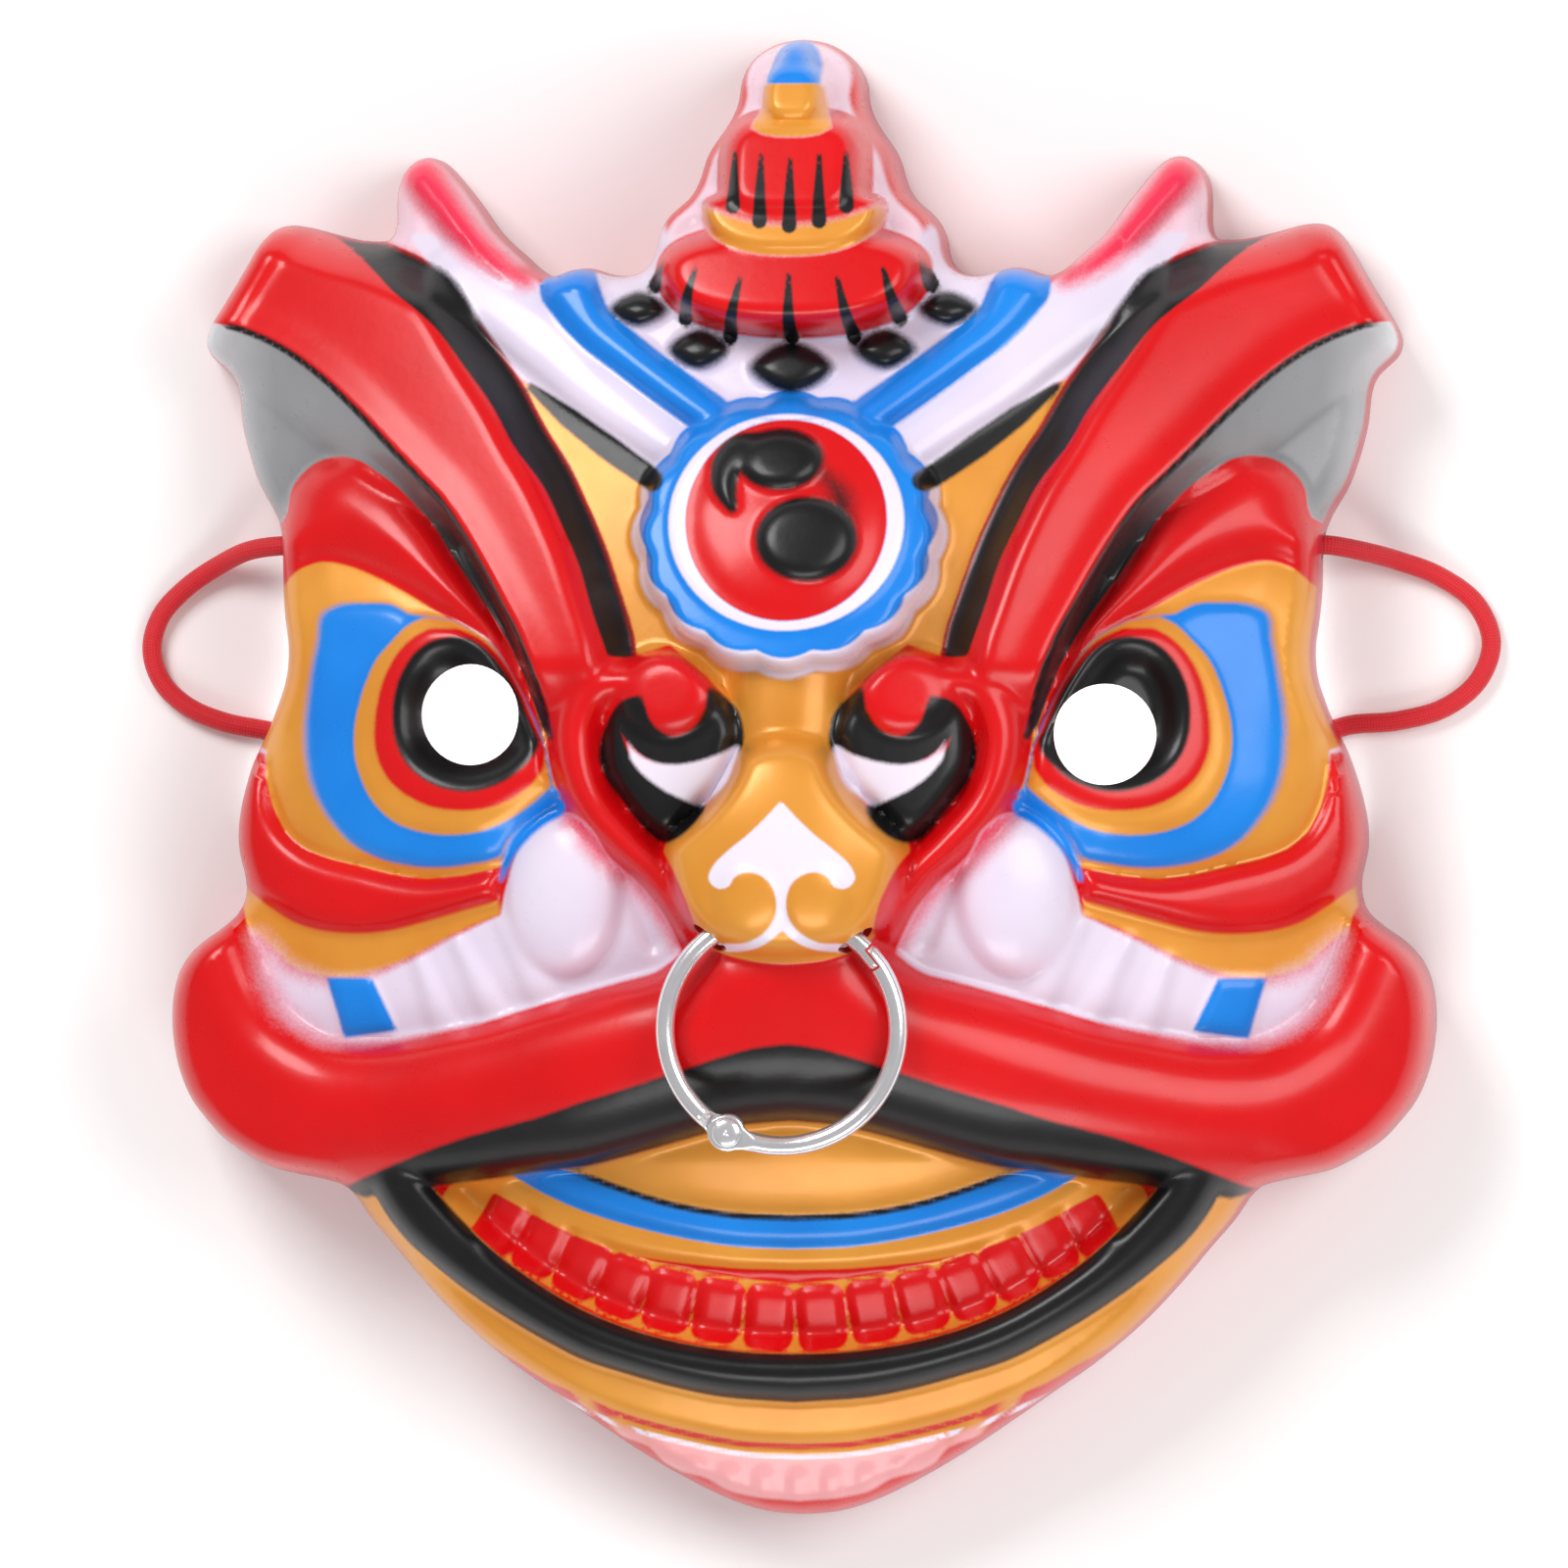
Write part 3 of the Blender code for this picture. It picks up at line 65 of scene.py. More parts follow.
lens = bpy.data.cameras.new("camera")
camera = bpy.data.objects.new("camera", lens)
bpy.context.scene.collection.objects.link(camera)
camera.location = (CAMERA_AIM[0] + CAMERA_SIDE, CAMERA_AIM[1], CAMERA_RISE)
aim = Vector(CAMERA_AIM) - camera.location
back = -aim.normalized()
right = Vector((0, 1, 0)).cross(back).normalized()
camera.rotation_euler = Matrix((right, back.cross(right), back)).transposed().to_euler()
lens.sensor_width = 36
lens.lens = lens.sensor_width * aim.length / CAMERA_SHARE
lens.clip_start, lens.clip_end = 0.05, 20
bpy.context.scene.camera = camera
print("camera", round(lens.lens), "mm lens")

# %% Floor and lamps
FLOOR_REACH = 6.0
FLOOR_DROP = 0.0001
PAPER_WHITE = (0.95, 0.95, 0.95, 1)
ROOM_WHITE = (1, 1, 1, 1)
ROOM_LIGHT = 0.33
# Each lamp's place, the point it faces, its width and height, and its watts
LAMPS = {
    "key": ((-0.55, 0.75, 0.95), (0, 0, 0.03), (0.55, 0.55), 10.6),
    "fill": ((0.8, 0.25, 0.9), (0, 0, 0.03), (0.7, 0.7), 6.6),
    "front": ((0.1, -0.95, 0.7), (0, -0.02, 0.03), (0.9, 0.4), 5.6),
}


def lamp(name, place, target, size, watts):
    light = bpy.data.lights.new(name, "AREA")
    light.shape = "RECTANGLE"
    light.size, light.size_y = size
    light.energy = watts
    holder = bpy.data.objects.new(name, light)
    bpy.context.scene.collection.objects.link(holder)
    holder.location = place
    holder.rotation_euler = (Vector(target) - Vector(place)).to_track_quat("-Z", "Y").to_euler()
    return holder


floor_mesh = bpy.data.meshes.new("floor")
turns = ((-1, -1), (1, -1), (1, 1), (-1, 1))
floor_mesh.from_pydata([(x * FLOOR_REACH, y * FLOOR_REACH, 0) for x, y in turns], [], [(0, 1, 2, 3)])
floor = bpy.data.objects.new("floor", floor_mesh)
bpy.context.scene.collection.objects.link(floor)
floor.location.z = -FLOOR_DROP
paper = bpy.data.materials.new("paper")
paper.use_nodes = True
paper_inputs = paper.node_tree.nodes["Principled BSDF"].inputs
paper_inputs["Base Color"].default_value = PAPER_WHITE
paper_inputs["Roughness"].default_value = 0.9
floor_mesh.materials.append(paper)

for name, settings in LAMPS.items():
    lamp(name, *settings)
world = bpy.data.worlds.new("room")
world.use_nodes = True
room_inputs = world.node_tree.nodes["Background"].inputs
room_inputs["Color"].default_value = ROOM_WHITE
room_inputs["Strength"].default_value = ROOM_LIGHT
bpy.context.scene.world = world
bpy.context.scene.view_settings.view_transform = "Standard"
print("floor, three soft lamps and a white room")


# %% [markdown]
# ## The carving, drawn as lines
# A face like this could be sculpted by hand, or built from many joined pieces. Drawn as outlines
# over a plan of the face it stays exact: each shape lifts the surface by its own rounded profile,
# and the same outlines say later where the paint goes. Only the right half is drawn.

# %% Sizes in metres
MASK_WIDTH = 0.1940
MASK_HEIGHT = 0.2265
MASK_DEPTH = 0.0680
WALL = 0.0012
# The side wall rises to the face within this distance of the rim, in a squared curve
WALL_RUN = 0.0036
WALL_SQUARENESS = 2.6
EYE_HOLE = 0.0153
TEMPLE_ARCH = 0.0048
RING_OUTSIDE = 0.0380
RING_WIRE = 0.0029
RING_HOLE = 0.0060
RING_CLEARANCE = 0.0003
KNUCKLE = 0.0056
RIVET_HEAD = 0.0044
RIVET_SHANK = 0.0016
RIVET_HEAD_RISE = 0.0007
SNAP_LAP = 0.0032
CORD = 0.0030
CORD_HOLE = 0.0042
KNOT = 0.0075
CORD_CLEARANCE = 0.0003
# How fine the outer skin, the inner skin and the grid of heights are
RELIEF_STEP = 0.00078
INSIDE_STEP = 0.0018
BED_STEP = 0.0004
# How often the outer skin's heights are smoothed
SOFTENING = 3
# How many sides a hole, the ring's wire, the cord and a knot have
HOLE_SIDES = 48
WIRE_SIDES = 32
CORD_SIDES = 20
KNOT_SIDES = 16

# %% The drawing grid
# The face is drawn on a grid. These give its size, and how many metres one step of it is.
GRID_WIDTH = 194.0
GRID_HEIGHT = 226.5
UNIT_X = MASK_WIDTH / GRID_WIDTH
UNIT_Y = MASK_HEIGHT / GRID_HEIGHT
RELIEF_PEAK = 69.9
UNIT_Z = MASK_DEPTH / RELIEF_PEAK
print("one grid step is", round(UNIT_X * 1000, 3), "mm across and", round(UNIT_Z * 1000, 3), "mm up")

# %% Outlines of the carving, in grid units of about a millimetre
# x runs out from the middle line, and each side shape is drawn once and mirrored.
RIM = [
    [
        (0, 113.5), (4.2, 112.7), (7.7, 110.3), (9.5, 107), (10, 103.2), (11.4, 100.2),
        (14.4, 95.7), (15.8, 91.2), (17, 89), (20.2, 86.2), (21.9, 83), (22.4, 79.7),
        (23.7, 77.9), (26.4, 77), (29.7, 77.4), (32.1, 78.3), (35.4, 77.9), (37.8, 76.9),
        (39.8, 77.6), (42.9, 80.3), (46.5, 83.6), (49.8, 88.2), (52.8, 92), (55.5, 94.8),
        (58.2, 95.6), (61, 94), (62.4, 91.2), (62.7, 88.2), (62.6, 85),
    ],
    [(63.2, 82.6), (67.5, 82.7), (72, 83.7), (76.5, 84.9), (79, 85.2), (81.3, 84.6), (83.3, 82.5),
     (86.1, 77.7), (88.8, 73.2), (91, 69.5), (92, 67), (91.4, 64.8), (89.6, 63.2), (87.9, 61.5),
     (87.1, 59), (86.6, 54.5), (85.5, 50), (83.6, 44.7), (81.4, 41), (80.1, 38), (79.7, 35),
     (79.6, 29), (79.2, 24.5), (78.6, 20), (78.9, 15.5), (80.1, 11.7), (81.6, 8), (83.5, 4.2),
     (85.3, -1), (86.5, -6.3), (86.6, -10.8), (85.6, -15.3), (85.6, -18)],
    [(86.4, -20.4), (88.6, -22.4), (92.8, -25.4), (95.5, -28.8), (96.8, -33.3), (97, -38.5),
     (96, -44.5), (94, -49.4), (91.6, -52.5), (88.8, -55.5), (85, -58), (81.3, -59.9),
     (77.5, -60.8), (73, -61.7), (70, -62.6)],
    [(68.3, -64.4), (66.3, -67.5), (62.5, -71.9), (58, -77.3), (52, -83.6), (44.5, -89.9),
     (38.6, -94), (32.6, -98.2), (25, -103.3), (17.5, -107.7), (10.8, -110.9), (5.5, -112.5),
     (0, -113)],
]
BROW_TOP = [
    (79, 87), (71.9, 84.4), (63.8, 82), (56.9, 79), (53.1, 77), (50.5, 74), (46.4, 67.5),
    (40.8, 59), (37.4, 53), (33.6, 47), (30.6, 41), (28, 35), (25.4, 27.5), (23.5, 21.5), (22.4, 14),
]
BROW_EDGE = [
    (95, 70.5), (90.6, 69.5), (85.4, 68.4), (78.6, 65.4), (72.6, 61.2), (66.6, 55.7),
    (60.6, 49.5), (56.9, 45.7), (53, 41.7), (49.7, 37), (46.4, 31.5), (43.4, 26), (40.6, 20.7),
    (38, 14), (36, 6),
]
EYELID = [
    [(84, 38), (78.5, 39.5), (77.3, 44), (75.2, 46.7), (72.9, 48.2), (69.9, 48.8), (66.5, 48.2),
     (63.2, 46.2), (60.2, 44), (57.2, 41), (54.6, 38), (51.5, 33.2), (48.2, 28.5), (44.4, 23),
     (41.4, 17.7), (39.2, 12.5), (37.4, 7.2)],
    [(38.3, 5.4), (39.6, 9.8), (41.4, 14), (43.7, 17.4), (46.7, 20.4), (49.7, 22.5), (54.2, 25.2),
     (58.7, 27.9), (63.2, 30.2), (67.7, 32), (72.2, 32.7), (75.9, 31.5), (79, 29), (84, 28)],
]
EYE_SOCKET = [
    [(84, 30), (84, 8), (80.3, 5), (80.7, -0.3), (79.7, -4.8), (77.7, -8.5), (74.4, -11),
     (69.9, -12.4), (65.4, -13.4), (60.2, -14.7), (55.7, -15.2), (49.7, -14.9), (44, -13.7),
     (38, -6), (33.5, -2)],
    [(36, 5), (41, 16), (48, 25), (60, 33), (72, 36)],
]
EYE_BLUE = [
    [(58.2, 24.7), (60.9, 26.1), (64.7, 26.4), (69.2, 26.1), (71.9, 24.7), (72.6, 20.7),
     (73.8, 14), (74.6, 7.2), (74.1, 1.2), (72.6, -3.3), (70.2, -7), (67.4, -10), (63.9, -12),
     (59.4, -13.3), (54.2, -13.8), (48.9, -13.3), (44, -12), (42.9, -10), (40.7, -7.5),
     (37.7, -5.1), (34.2, -2.8)],
    [(35.6, -1.5), (37.4, 6), (42.2, 15.4), (45.9, 20.7), (51.2, 23.7)],
]
EYE_GOLD = [
    [(55.7, 24.2), (58.2, 23), (60.6, 20.7), (63.2, 17.7), (65.1, 13.5), (66.5, 8), (66.5, 3.2),
     (65.4, -0.6), (63.5, -4), (60.5, -6.7), (56.4, -8.3), (51.9, -8.8), (47, -8.3),
     (42.9, -6.7), (39.2, -4.3), (35.9, -1.5)],
    [(36.8, 3), (38.9, 8.7), (42.2, 15.4), (45.9, 20.7), (51.2, 23.7)],
]
EYE_RED = [
    [(54.9, 22.5), (57.9, 20.7), (60.5, 17.7), (62.3, 13.7), (63.3, 8.3), (63.2, 4.2), (62, 0.9),
     (60.2, -1.4), (57.5, -3.3), (53.9, -4.7), (49.7, -5.1), (45.5, -4.7), (41.9, -3.3),
     (38.9, -1.2), (37.1, 1.2)],
    [(36.8, 4), (39.2, 9.6), (41.4, 14.3), (44, 18.2), (46.7, 20.7), (50.4, 22.5)],
]
EYE_DISH = [
    [(51.2, 21.3), (54.2, 20.7), (56.4, 19.4), (58.4, 17), (59.9, 13.7), (60.5, 9.9), (60.2, 6.2),
     (59.1, 3.2), (57.2, 0.8), (54.5, -1), (50.9, -2.1), (47, -2.1), (42.9, -0.6), (39.9, 1.7),
     (38.1, 3.8)],
    [(37.7, 5.4), (39.2, 8.4), (41, 12.5), (43.4, 16.2), (45.9, 19.2), (48.5, 20.9)],
]
EYE_BAND = [
    [(89, 5), (89, -13), (83, -17.9), (80.4, -19.8), (76.7, -22), (72.2, -23.3), (66.9, -23.7),
     (61.7, -23.3), (55.7, -21.8), (49.7, -20.1), (44.3, -18.6)],
    [(44, -13.8), (49.7, -15), (55.7, -15.5), (60.9, -14.9), (65.9, -13.7), (70.7, -12.6),
     (74.9, -11), (78, -8.4), (80, -4.5), (80.9, -0.3), (81.2, 3.5)],
]
LIP = [
    [(0, -21), (12, -23), (16.2, -26.9), (20, -29.6), (25.5, -31.2), (31.5, -32.9), (39.2, -35.1),
     (46.8, -37.4), (54.5, -39), (62, -40.4), (70.2, -40.4), (74, -39), (78.2, -35.9),
     (80.9, -31.5), (82.4, -27.8), (83.8, -24.3), (85.1, -20), (88, -18), (100, -25), (103, -40),
     (99, -54), (88, -64.5), (77, -65.5), (68.7, -63.3)],
    [(62, -62.9), (56, -62.3), (50, -61.5), (44, -60.6), (38, -59.7), (31.9, -59), (25.7, -57.5),
     (19.5, -55.7), (13.2, -53.9), (7.2, -52.5), (0, -51.8)],
]
NOSE = [
    [(0, 6.4), (3, 6), (5.5, 5), (7.2, 3.5), (8.2, 0.9), (10, -2), (12.7, -5), (15.7, -7.5),
     (18.1, -9.7), (18.6, -12), (18.1, -15), (17.2, -18.1), (15.8, -21.1), (13.7, -23.8),
     (10.5, -26.2), (5.5, -27.7), (0, -28.2)],
]
CURL = [
    [(7.5, 4.7), (7, 6.2), (7.8, 9.5), (10, 12.8), (11.8, 14.7), (15.3, 17.6), (19, 18.9),
     (22, 18.6), (25, 16.7), (27.5, 12), (28.3, 5), (27.7, 0.5), (25, -3.7), (22, -7.3),
     (18.7, -9.7)],
    [(16, -8.2), (12.7, -4.6), (9.7, -1.5), (8.2, 1.2)],
]
CURL_HEAD = ((18.1, 12.6), (9.4, 8.2))
COLLAR = [(24, 14.6), (29.8, 13.4), (32.4, 8), (32, 1.5), (29.6, -4.3), (24.8, -9.8), (20, -14.4),
          (16.8, -19.5), (15, -23.4)]
COLLAR_HALF = [3.4, 4.4, 4.2, 4, 3.7, 3.5, 3, 2.4, 1.8]
CHEEK_BALL = ((34.4, -17.9), (9, 12.3))
BLUE_TAB = [[(71.6, -30.6), (64.4, -30.6)], [(60.5, -38.6), (68.9, -39.8)]]
RIB = [(34.4, 74.4), (31, 69), (25, 64), (19, 59.5), (12.3, 54.7)]
RIB_HALF = [4.2, 3.2, 3, 3, 3]
SASH = [(52, 76), (39.3, 67.2), (31, 59.7), (23.5, 54.2), (16, 48.7)]
SASH_HALF = [4.5, 5, 4.2, 3.7, 3.4]
GROOVE = [(40, 59.2), (34, 54.5), (28, 50), (20.5, 44.7)]
GROOVE_HALF = [0.8, 1.8, 1.9, 1.6]
EAR_EDGE = [(58.5, 92), (54.8, 87.6), (50, 82), (44, 77.5), (39, 75)]
EAR_HALF = [2.6, 2.4, 2.2, 2, 1.4]

# The five black studs on the forehead: middle, and half width and half height
STUDS = [((0, 62), (6.4, 4)), ((14.1, 64.8), (4.8, 3.1)), ((23.5, 71), (4.6, 2.7))]
STUD_POWER = 1.5

# The arcs of the open mouth, from the middle line out
PALATE_ARC = [(0, -66.8), (8, -66.5), (14.2, -65.7), (20.2, -64.4), (26.2, -62.5), (32.5, -60.3),
              (38, -59)]
BLUE_ARC = [(0, -71.7), (8.2, -71.4), (14.2, -70.6), (20.2, -69.4), (26.2, -67.9), (32.2, -66),
            (38.2, -63.4), (43, -60.6)]
GOLD_ARC = [(0, -74.9), (8.2, -74.7), (14.2, -74.2), (20.2, -73.5), (26.2, -72.3), (32.2, -70.3),
            (38.2, -67.5), (43.5, -64.6), (50, -61.2)]
GUM_ARC = [(0, -87.6), (6.7, -87.4), (14.2, -86.5), (20.2, -85.3), (26.2, -83.5), (32.2, -81),
           (38.2, -77.6), (44.2, -73.4), (48.7, -69.4), (52.5, -65.5), (56, -61.5)]
CHIN_ARC = [(0, -95.1), (11.2, -94.3), (18.7, -92.8), (26.2, -90.7), (32.2, -88.8), (38.2, -85.8),
            (44.2, -82.3), (50.2, -78.3), (54.7, -74.8), (59.2, -70.8), (62.5, -66.7),
            (65.5, -61.5)]
BEARD_ARC = [(0, -102.1), (8.2, -101.7), (17.2, -100), (26.2, -97.6), (32.2, -95.2), (38.2, -92.7),
             (44, -89.5)]

# The row of teeth: seven each side, along the middle of the gum
TOOTH_ROW = [(0, -82.5), (8, -81.7), (19.8, -79.5), (26.6, -77.4), (33.3, -74.3), (39, -71.2),
             (45.5, -67.8), (50, -65)]
TEETH_A_SIDE = 7
TOOTH_PITCH = (7.9, 7.0)
TOOTH_HALF = (3.5, 4.7)


# %% Heights of the carving
# Heights above the domed ground, in grid units
DOME_RIM = 14.0
DOME_RISE = 38.0
DOME_REACH = (102.5, 123.0)
BROW_RISE = 9.0
BROW_DROP = (1.6, 8.6)
LID_RISE = 6.0
EYEBALL_RISE = 4.0
DISH_DEPTH = 5.0
LIP_RISE = 11.0
NOSE_RISE = 13.8
NOSE_ARCH = 4.5
NOSE_MIDDLE = ((0, -13), (19, 20))
COLLAR_RISE = 7.5
HEAD_RISE = 8.0
MEDAL_RISE = 9.0
TEETH_RISE = 1.5
GUM_DEPTH = 5.6
MUZZLE_ROOT = 8.0
LOWER_LIP_RISE = 5.0
BEARD_RISE = 2.2
PLEAT_RISE = 0.7
PLEAT = 5.2

# The round medal on the forehead, and the cone-shaped horn over it
MEDAL = ((0, 38.2), (22.6, 20.4))
MEDAL_FOOT = ((0, 36.6), (23.9, 21.9))
MEDAL_RING = ((0, 38.3), (18, 16.6))
MEDAL_BOSS = ((0, 38.6), (15.1, 15.1))
SCALLOPS = 16
SCALLOP_DEPTH = 0.9
SWIRL_HEADS = (((-0.9, 47.8), (6.6, 4.7)), ((3.3, 35.7), (7.7, 6.4)))
SWIRL_TAIL = [(-4, 49.4), (-7.2, 49), (-9, 46.6), (-9.2, 43.6), (-8, 40.4)]
SWIRL_TAIL_HALF = [2.6, 2.6, 2.4, 1.9, 0.8]

# The horn's foot, drum, cap, collar and tip: middle height on the face, half width, reach down
# and reach up, squareness, rise and the width of the rounded edge
HORN_FOOT = (77.0, 20.7, 10.2, 7.2, 2.3, 13.0, 4.6)
HORN_DRUM = (86.5, 13.8, 7.7, 3.0, 2.3, 14.6, 1.4)
HORN_CAP = (92.0, 11.5, 8.8, 9.6, 3.2, 16.2, 4.0)
HORN_COLLAR = (103.0, 5.4, 4.7, 6.2, 2.6, 16.8, 2.4)
HORN_TIP = (105.5, 3.8, 6.0, 7.0, 2.2, 14.4, 3.8)

# Where things sit on the mask, in grid units. The right eye hole was punched a little low.
EYE_HOLES = ((-48.6, 9.4), (47.6, 6.4))
TEMPLE_HOLE = (79.5, 35.5)
TEMPLE_HOLE_RISE = 0.0085
ARCH_MIDDLE = 14.0
ARCH_REACH = 19.0
NOSE_HOLES_Y = -25.1
RING_SIDE = -0.5
RING_AXIS_RISE = 59.825
RING_DROP = 0.0129
RING_TILT_DEG = -3.0
RING_SWING_DEG = 60.0
RIVET_ANGLE_DEG = -118.0
SNAP_ANGLE_DEG = 38.0

# The elastic's line, x and y in grid units and the share of the temple hole's height. It leaves
# each hole, lies in a loop outside the temple and passes under the mask.
ELASTIC_LEFT = [
    (-80.5, 35.5, 1), (-85.5, 34.8, 0.67), (-90.5, 32.6, 0.16), (-95.6, 29.2, 0), (-99.6, 24.8, 0),
    (-101, 19.6, 0), (-99.4, 14.6, 0), (-95.4, 10.8, 0), (-89.6, 8.4, 0), (-82.6, 7, 0), (-75, 4.6, 0),
    (-67, 0.8, 0), (-58, -4.2, 0), (-47, -9.2, 0), (-32, -13.4, 0), (-16, -15.4, 0),
]
ELASTIC_RIGHT = [
    (0, -15.8, 0), (16, -15.2, 0), (32, -13.2, 0), (47, -9.6, 0), (58, -5, 0), (67, -0.2, 0),
    (75, 4.4, 0), (83, 7.8, 0), (91, 8.6, 0), (98.2, 10.6, 0), (103.4, 14.8, 0), (105.4, 20.6, 0),
    (103, 26.6, 0), (97.4, 30.8, 0), (91, 33.2, 0.18), (85.6, 34.6, 0.67), (80.5, 35.5, 1),
]


# %% [markdown]
# ## From lines to heights
# Two kinds of helper turn the lines into a surface. The first draws a smooth curve through a few
# points. The second says, for many places at once, how deep each one is inside a shape. A depth
# makes a rounded edge easy: the height follows the depth until the shape is wide enough.

# %% Smooth curves
def smooth_run(points, step):
    """A centripetal Catmull-Rom line through the points, as an array of close points."""
    line = np.array(points, float)
    if len(line) < 3:
        return line
    ends = [2 * line[0] - line[1]], [2 * line[-1] - line[-2]]
    padded = np.concatenate([ends[0], line, ends[1]])
    samples = []
    for i in range(1, len(padded) - 2):
        a, b, c, d = padded[i - 1:i + 3]
        t1 = np.linalg.norm(b - a) ** 0.5
        t2 = t1 + np.linalg.norm(c - b) ** 0.5
        t3 = t2 + np.linalg.norm(d - c) ** 0.5
        count = max(1, round(float(np.linalg.norm(c - b)) / step))
        t = np.linspace(t1, t2, count, endpoint=False)[:, None]
        a1 = (t1 - t) / t1 * a + t / t1 * b
        a2 = (t2 - t) / (t2 - t1) * b + (t - t1) / (t2 - t1) * c
        a3 = (t3 - t) / (t3 - t2) * c + (t - t2) / (t3 - t2) * d
        b1 = (t2 - t) / t2 * a1 + t / t2 * a2
        b2 = (t3 - t) / (t3 - t1) * a2 + (t - t1) / (t3 - t1) * a3
        samples.append((t2 - t) / (t2 - t1) * b1 + (t - t1) / (t2 - t1) * b2)
    samples.append(line[-1:])
    return np.concatenate(samples)


def joined(runs, step=1.5):
    """Smooth runs set end to end, with a corner where one run meets the next."""
    return np.concatenate([smooth_run(run, step) for run in runs])


def mirrored(half):
    """A closed outline from its right half, which starts and ends on the middle line."""
    other = half[1:-1][::-1] * (-1, 1)
    return np.concatenate([half, other])


# %% Depth inside a shape, in grid units, and minus that outside
FAR = 12.0


def near(x, y, low, high):
    """Which points lie in a rectangle."""
    return (x > low[0]) & (x < high[0]) & (y > low[1]) & (y < high[1])


def in_pieces(x, y, measure, size=3000):
    """The measure taken for a few thousand points at a time, which keeps the memory small."""
    out = np.empty(len(x))
    for i in range(0, len(x), size):
        out[i:i + size] = measure(x[i:i + size, None], y[i:i + size, None])
    return out


def depth_in(x, y, outline, far=FAR):
    """The depth of points inside a closed outline."""
    a = outline
    b = np.roll(outline, -1, axis=0)
    run = b - a
    length = np.maximum((run ** 2).sum(1), 1e-9)
    rise = np.where(np.abs(run[:, 1]) < 1e-9, 1e-9, run[:, 1])

    def measure(px, py):
        dx, dy = px - a[:, 0], py - a[:, 1]
        t = np.clip((dx * run[:, 0] + dy * run[:, 1]) / length, 0, 1)
        gap = np.sqrt(((dx - t * run[:, 0]) ** 2 + (dy - t * run[:, 1]) ** 2).min(1))
        crossed = ((a[:, 1] > py) != (b[:, 1] > py)) & (dx < dy * run[:, 0] / rise)
        return np.where(crossed.sum(1) % 2 == 1, gap, -gap)

    out = np.full(len(x), -float(far))
    use = near(x, y, outline.min(0) - far, outline.max(0) + far)
    out[use] = in_pieces(x[use], y[use], measure)
    return np.maximum(out, -far)


def depth_in_stroke(x, y, points, halves, far=FAR, step=1.0):
    """The depth of points inside a stroke whose half width changes along its line."""
    line = smooth_run(points, step)
    along = np.concatenate([[0], np.cumsum(np.linalg.norm(np.diff(line, axis=0), axis=1))])
    at = [float(along[np.argmin(((line - p) ** 2).sum(1))]) for p in np.array(points, float)]
    width = np.interp(along, at, halves)
    a, run, thin, thick = line[:-1], np.diff(line, axis=0), width[:-1], width[1:]
    length = np.maximum((run ** 2).sum(1), 1e-9)

    def measure(px, py):
        dx, dy = px - a[:, 0], py - a[:, 1]
        t = np.clip((dx * run[:, 0] + dy * run[:, 1]) / length, 0, 1)
        gap = np.sqrt((dx - t * run[:, 0]) ** 2 + (dy - t * run[:, 1]) ** 2)
        return (thin + (thick - thin) * t - gap).max(1)

    out = np.full(len(x), -float(far))
    reach = far + max(halves)
    use = near(x, y, line.min(0) - reach, line.max(0) + reach)
    out[use] = in_pieces(x[use], y[use], measure)
    return np.maximum(out, -far)


def depth_in_oval(x, y, middle, radii):
    """About the depth inside an ellipse."""
    u = np.hypot((x - middle[0]) / radii[0], (y - middle[1]) / radii[1])
    return (1 - u) * min(radii)


def depth_in_tier(x, y, tier):
    """About the depth inside a squared oval that reaches further down than up."""
    middle, half, below, above, power = tier[:5]
    reach = np.where(y < middle, below, above)
    across, along = np.abs(x) / half, np.abs(y - middle) / reach
    u = np.maximum((across ** power + along ** power) ** (1 / power), 1e-6)
    slope = np.hypot(across ** (power - 1) / half, along ** (power - 1) / reach) * u ** (1 - power)
    return (1 - u) / slope


def depth_in_stud(x, y, middle, radii):
    """A pebble with four soft corners."""
    across, along = np.abs((x - middle[0]) / radii[0]), np.abs((y - middle[1]) / radii[1])
    u = (across ** STUD_POWER + along ** STUD_POWER) ** (1 / STUD_POWER)
    return (1 - u) * min(radii)


def gap_to_line(x, y, points):
    """How far points are from a smooth line."""
    return -depth_in_stroke(x, y, points, [0] * len(points), 30)


def above_arc(x, y, half, closing):
    """The depth of points between an arc of the mouth, which crosses the middle line, and the lip."""
    line = np.concatenate([smooth_run(half, 1.5), np.array(closing, float)])
    return depth_in(x, y, mirrored(line), 20)


# %% Profiles: how a shape rises from its edge
def ramp(depth, width):
    """A soft step from 0 to 1."""
    t = np.clip(depth / width, 0, 1)
    return t * t * (3 - 2 * t)


def rounded(depth, width):
    """A quarter circle from 0 to 1."""
    t = np.clip(depth / width, 0, 1)
    return np.sqrt(t * (2 - t))


def soft_min(a, b, blend):
    """The lower of two heights, with the corner between them rounded."""
    h = np.clip(0.5 + 0.5 * (b - a) / blend, 0, 1)
    return b + (a - b) * h - blend * h * (1 - h)


def soft_max(a, b, blend):
    return -soft_min(-a, -b, blend)


# %% [markdown]
# ## The carving
# Each part of the face is one function that gives its height at many places. They are added, or
# the higher of two is taken with a soft blend. All take and give grid units.

# %% Ground and brows
def ground(x, y):
    """The domed face that the features stand on."""
    reach = np.hypot(x / DOME_REACH[0], y / DOME_REACH[1])
    return DOME_RIM + DOME_RISE * np.clip(1 - reach ** 1.7, 0, 1)


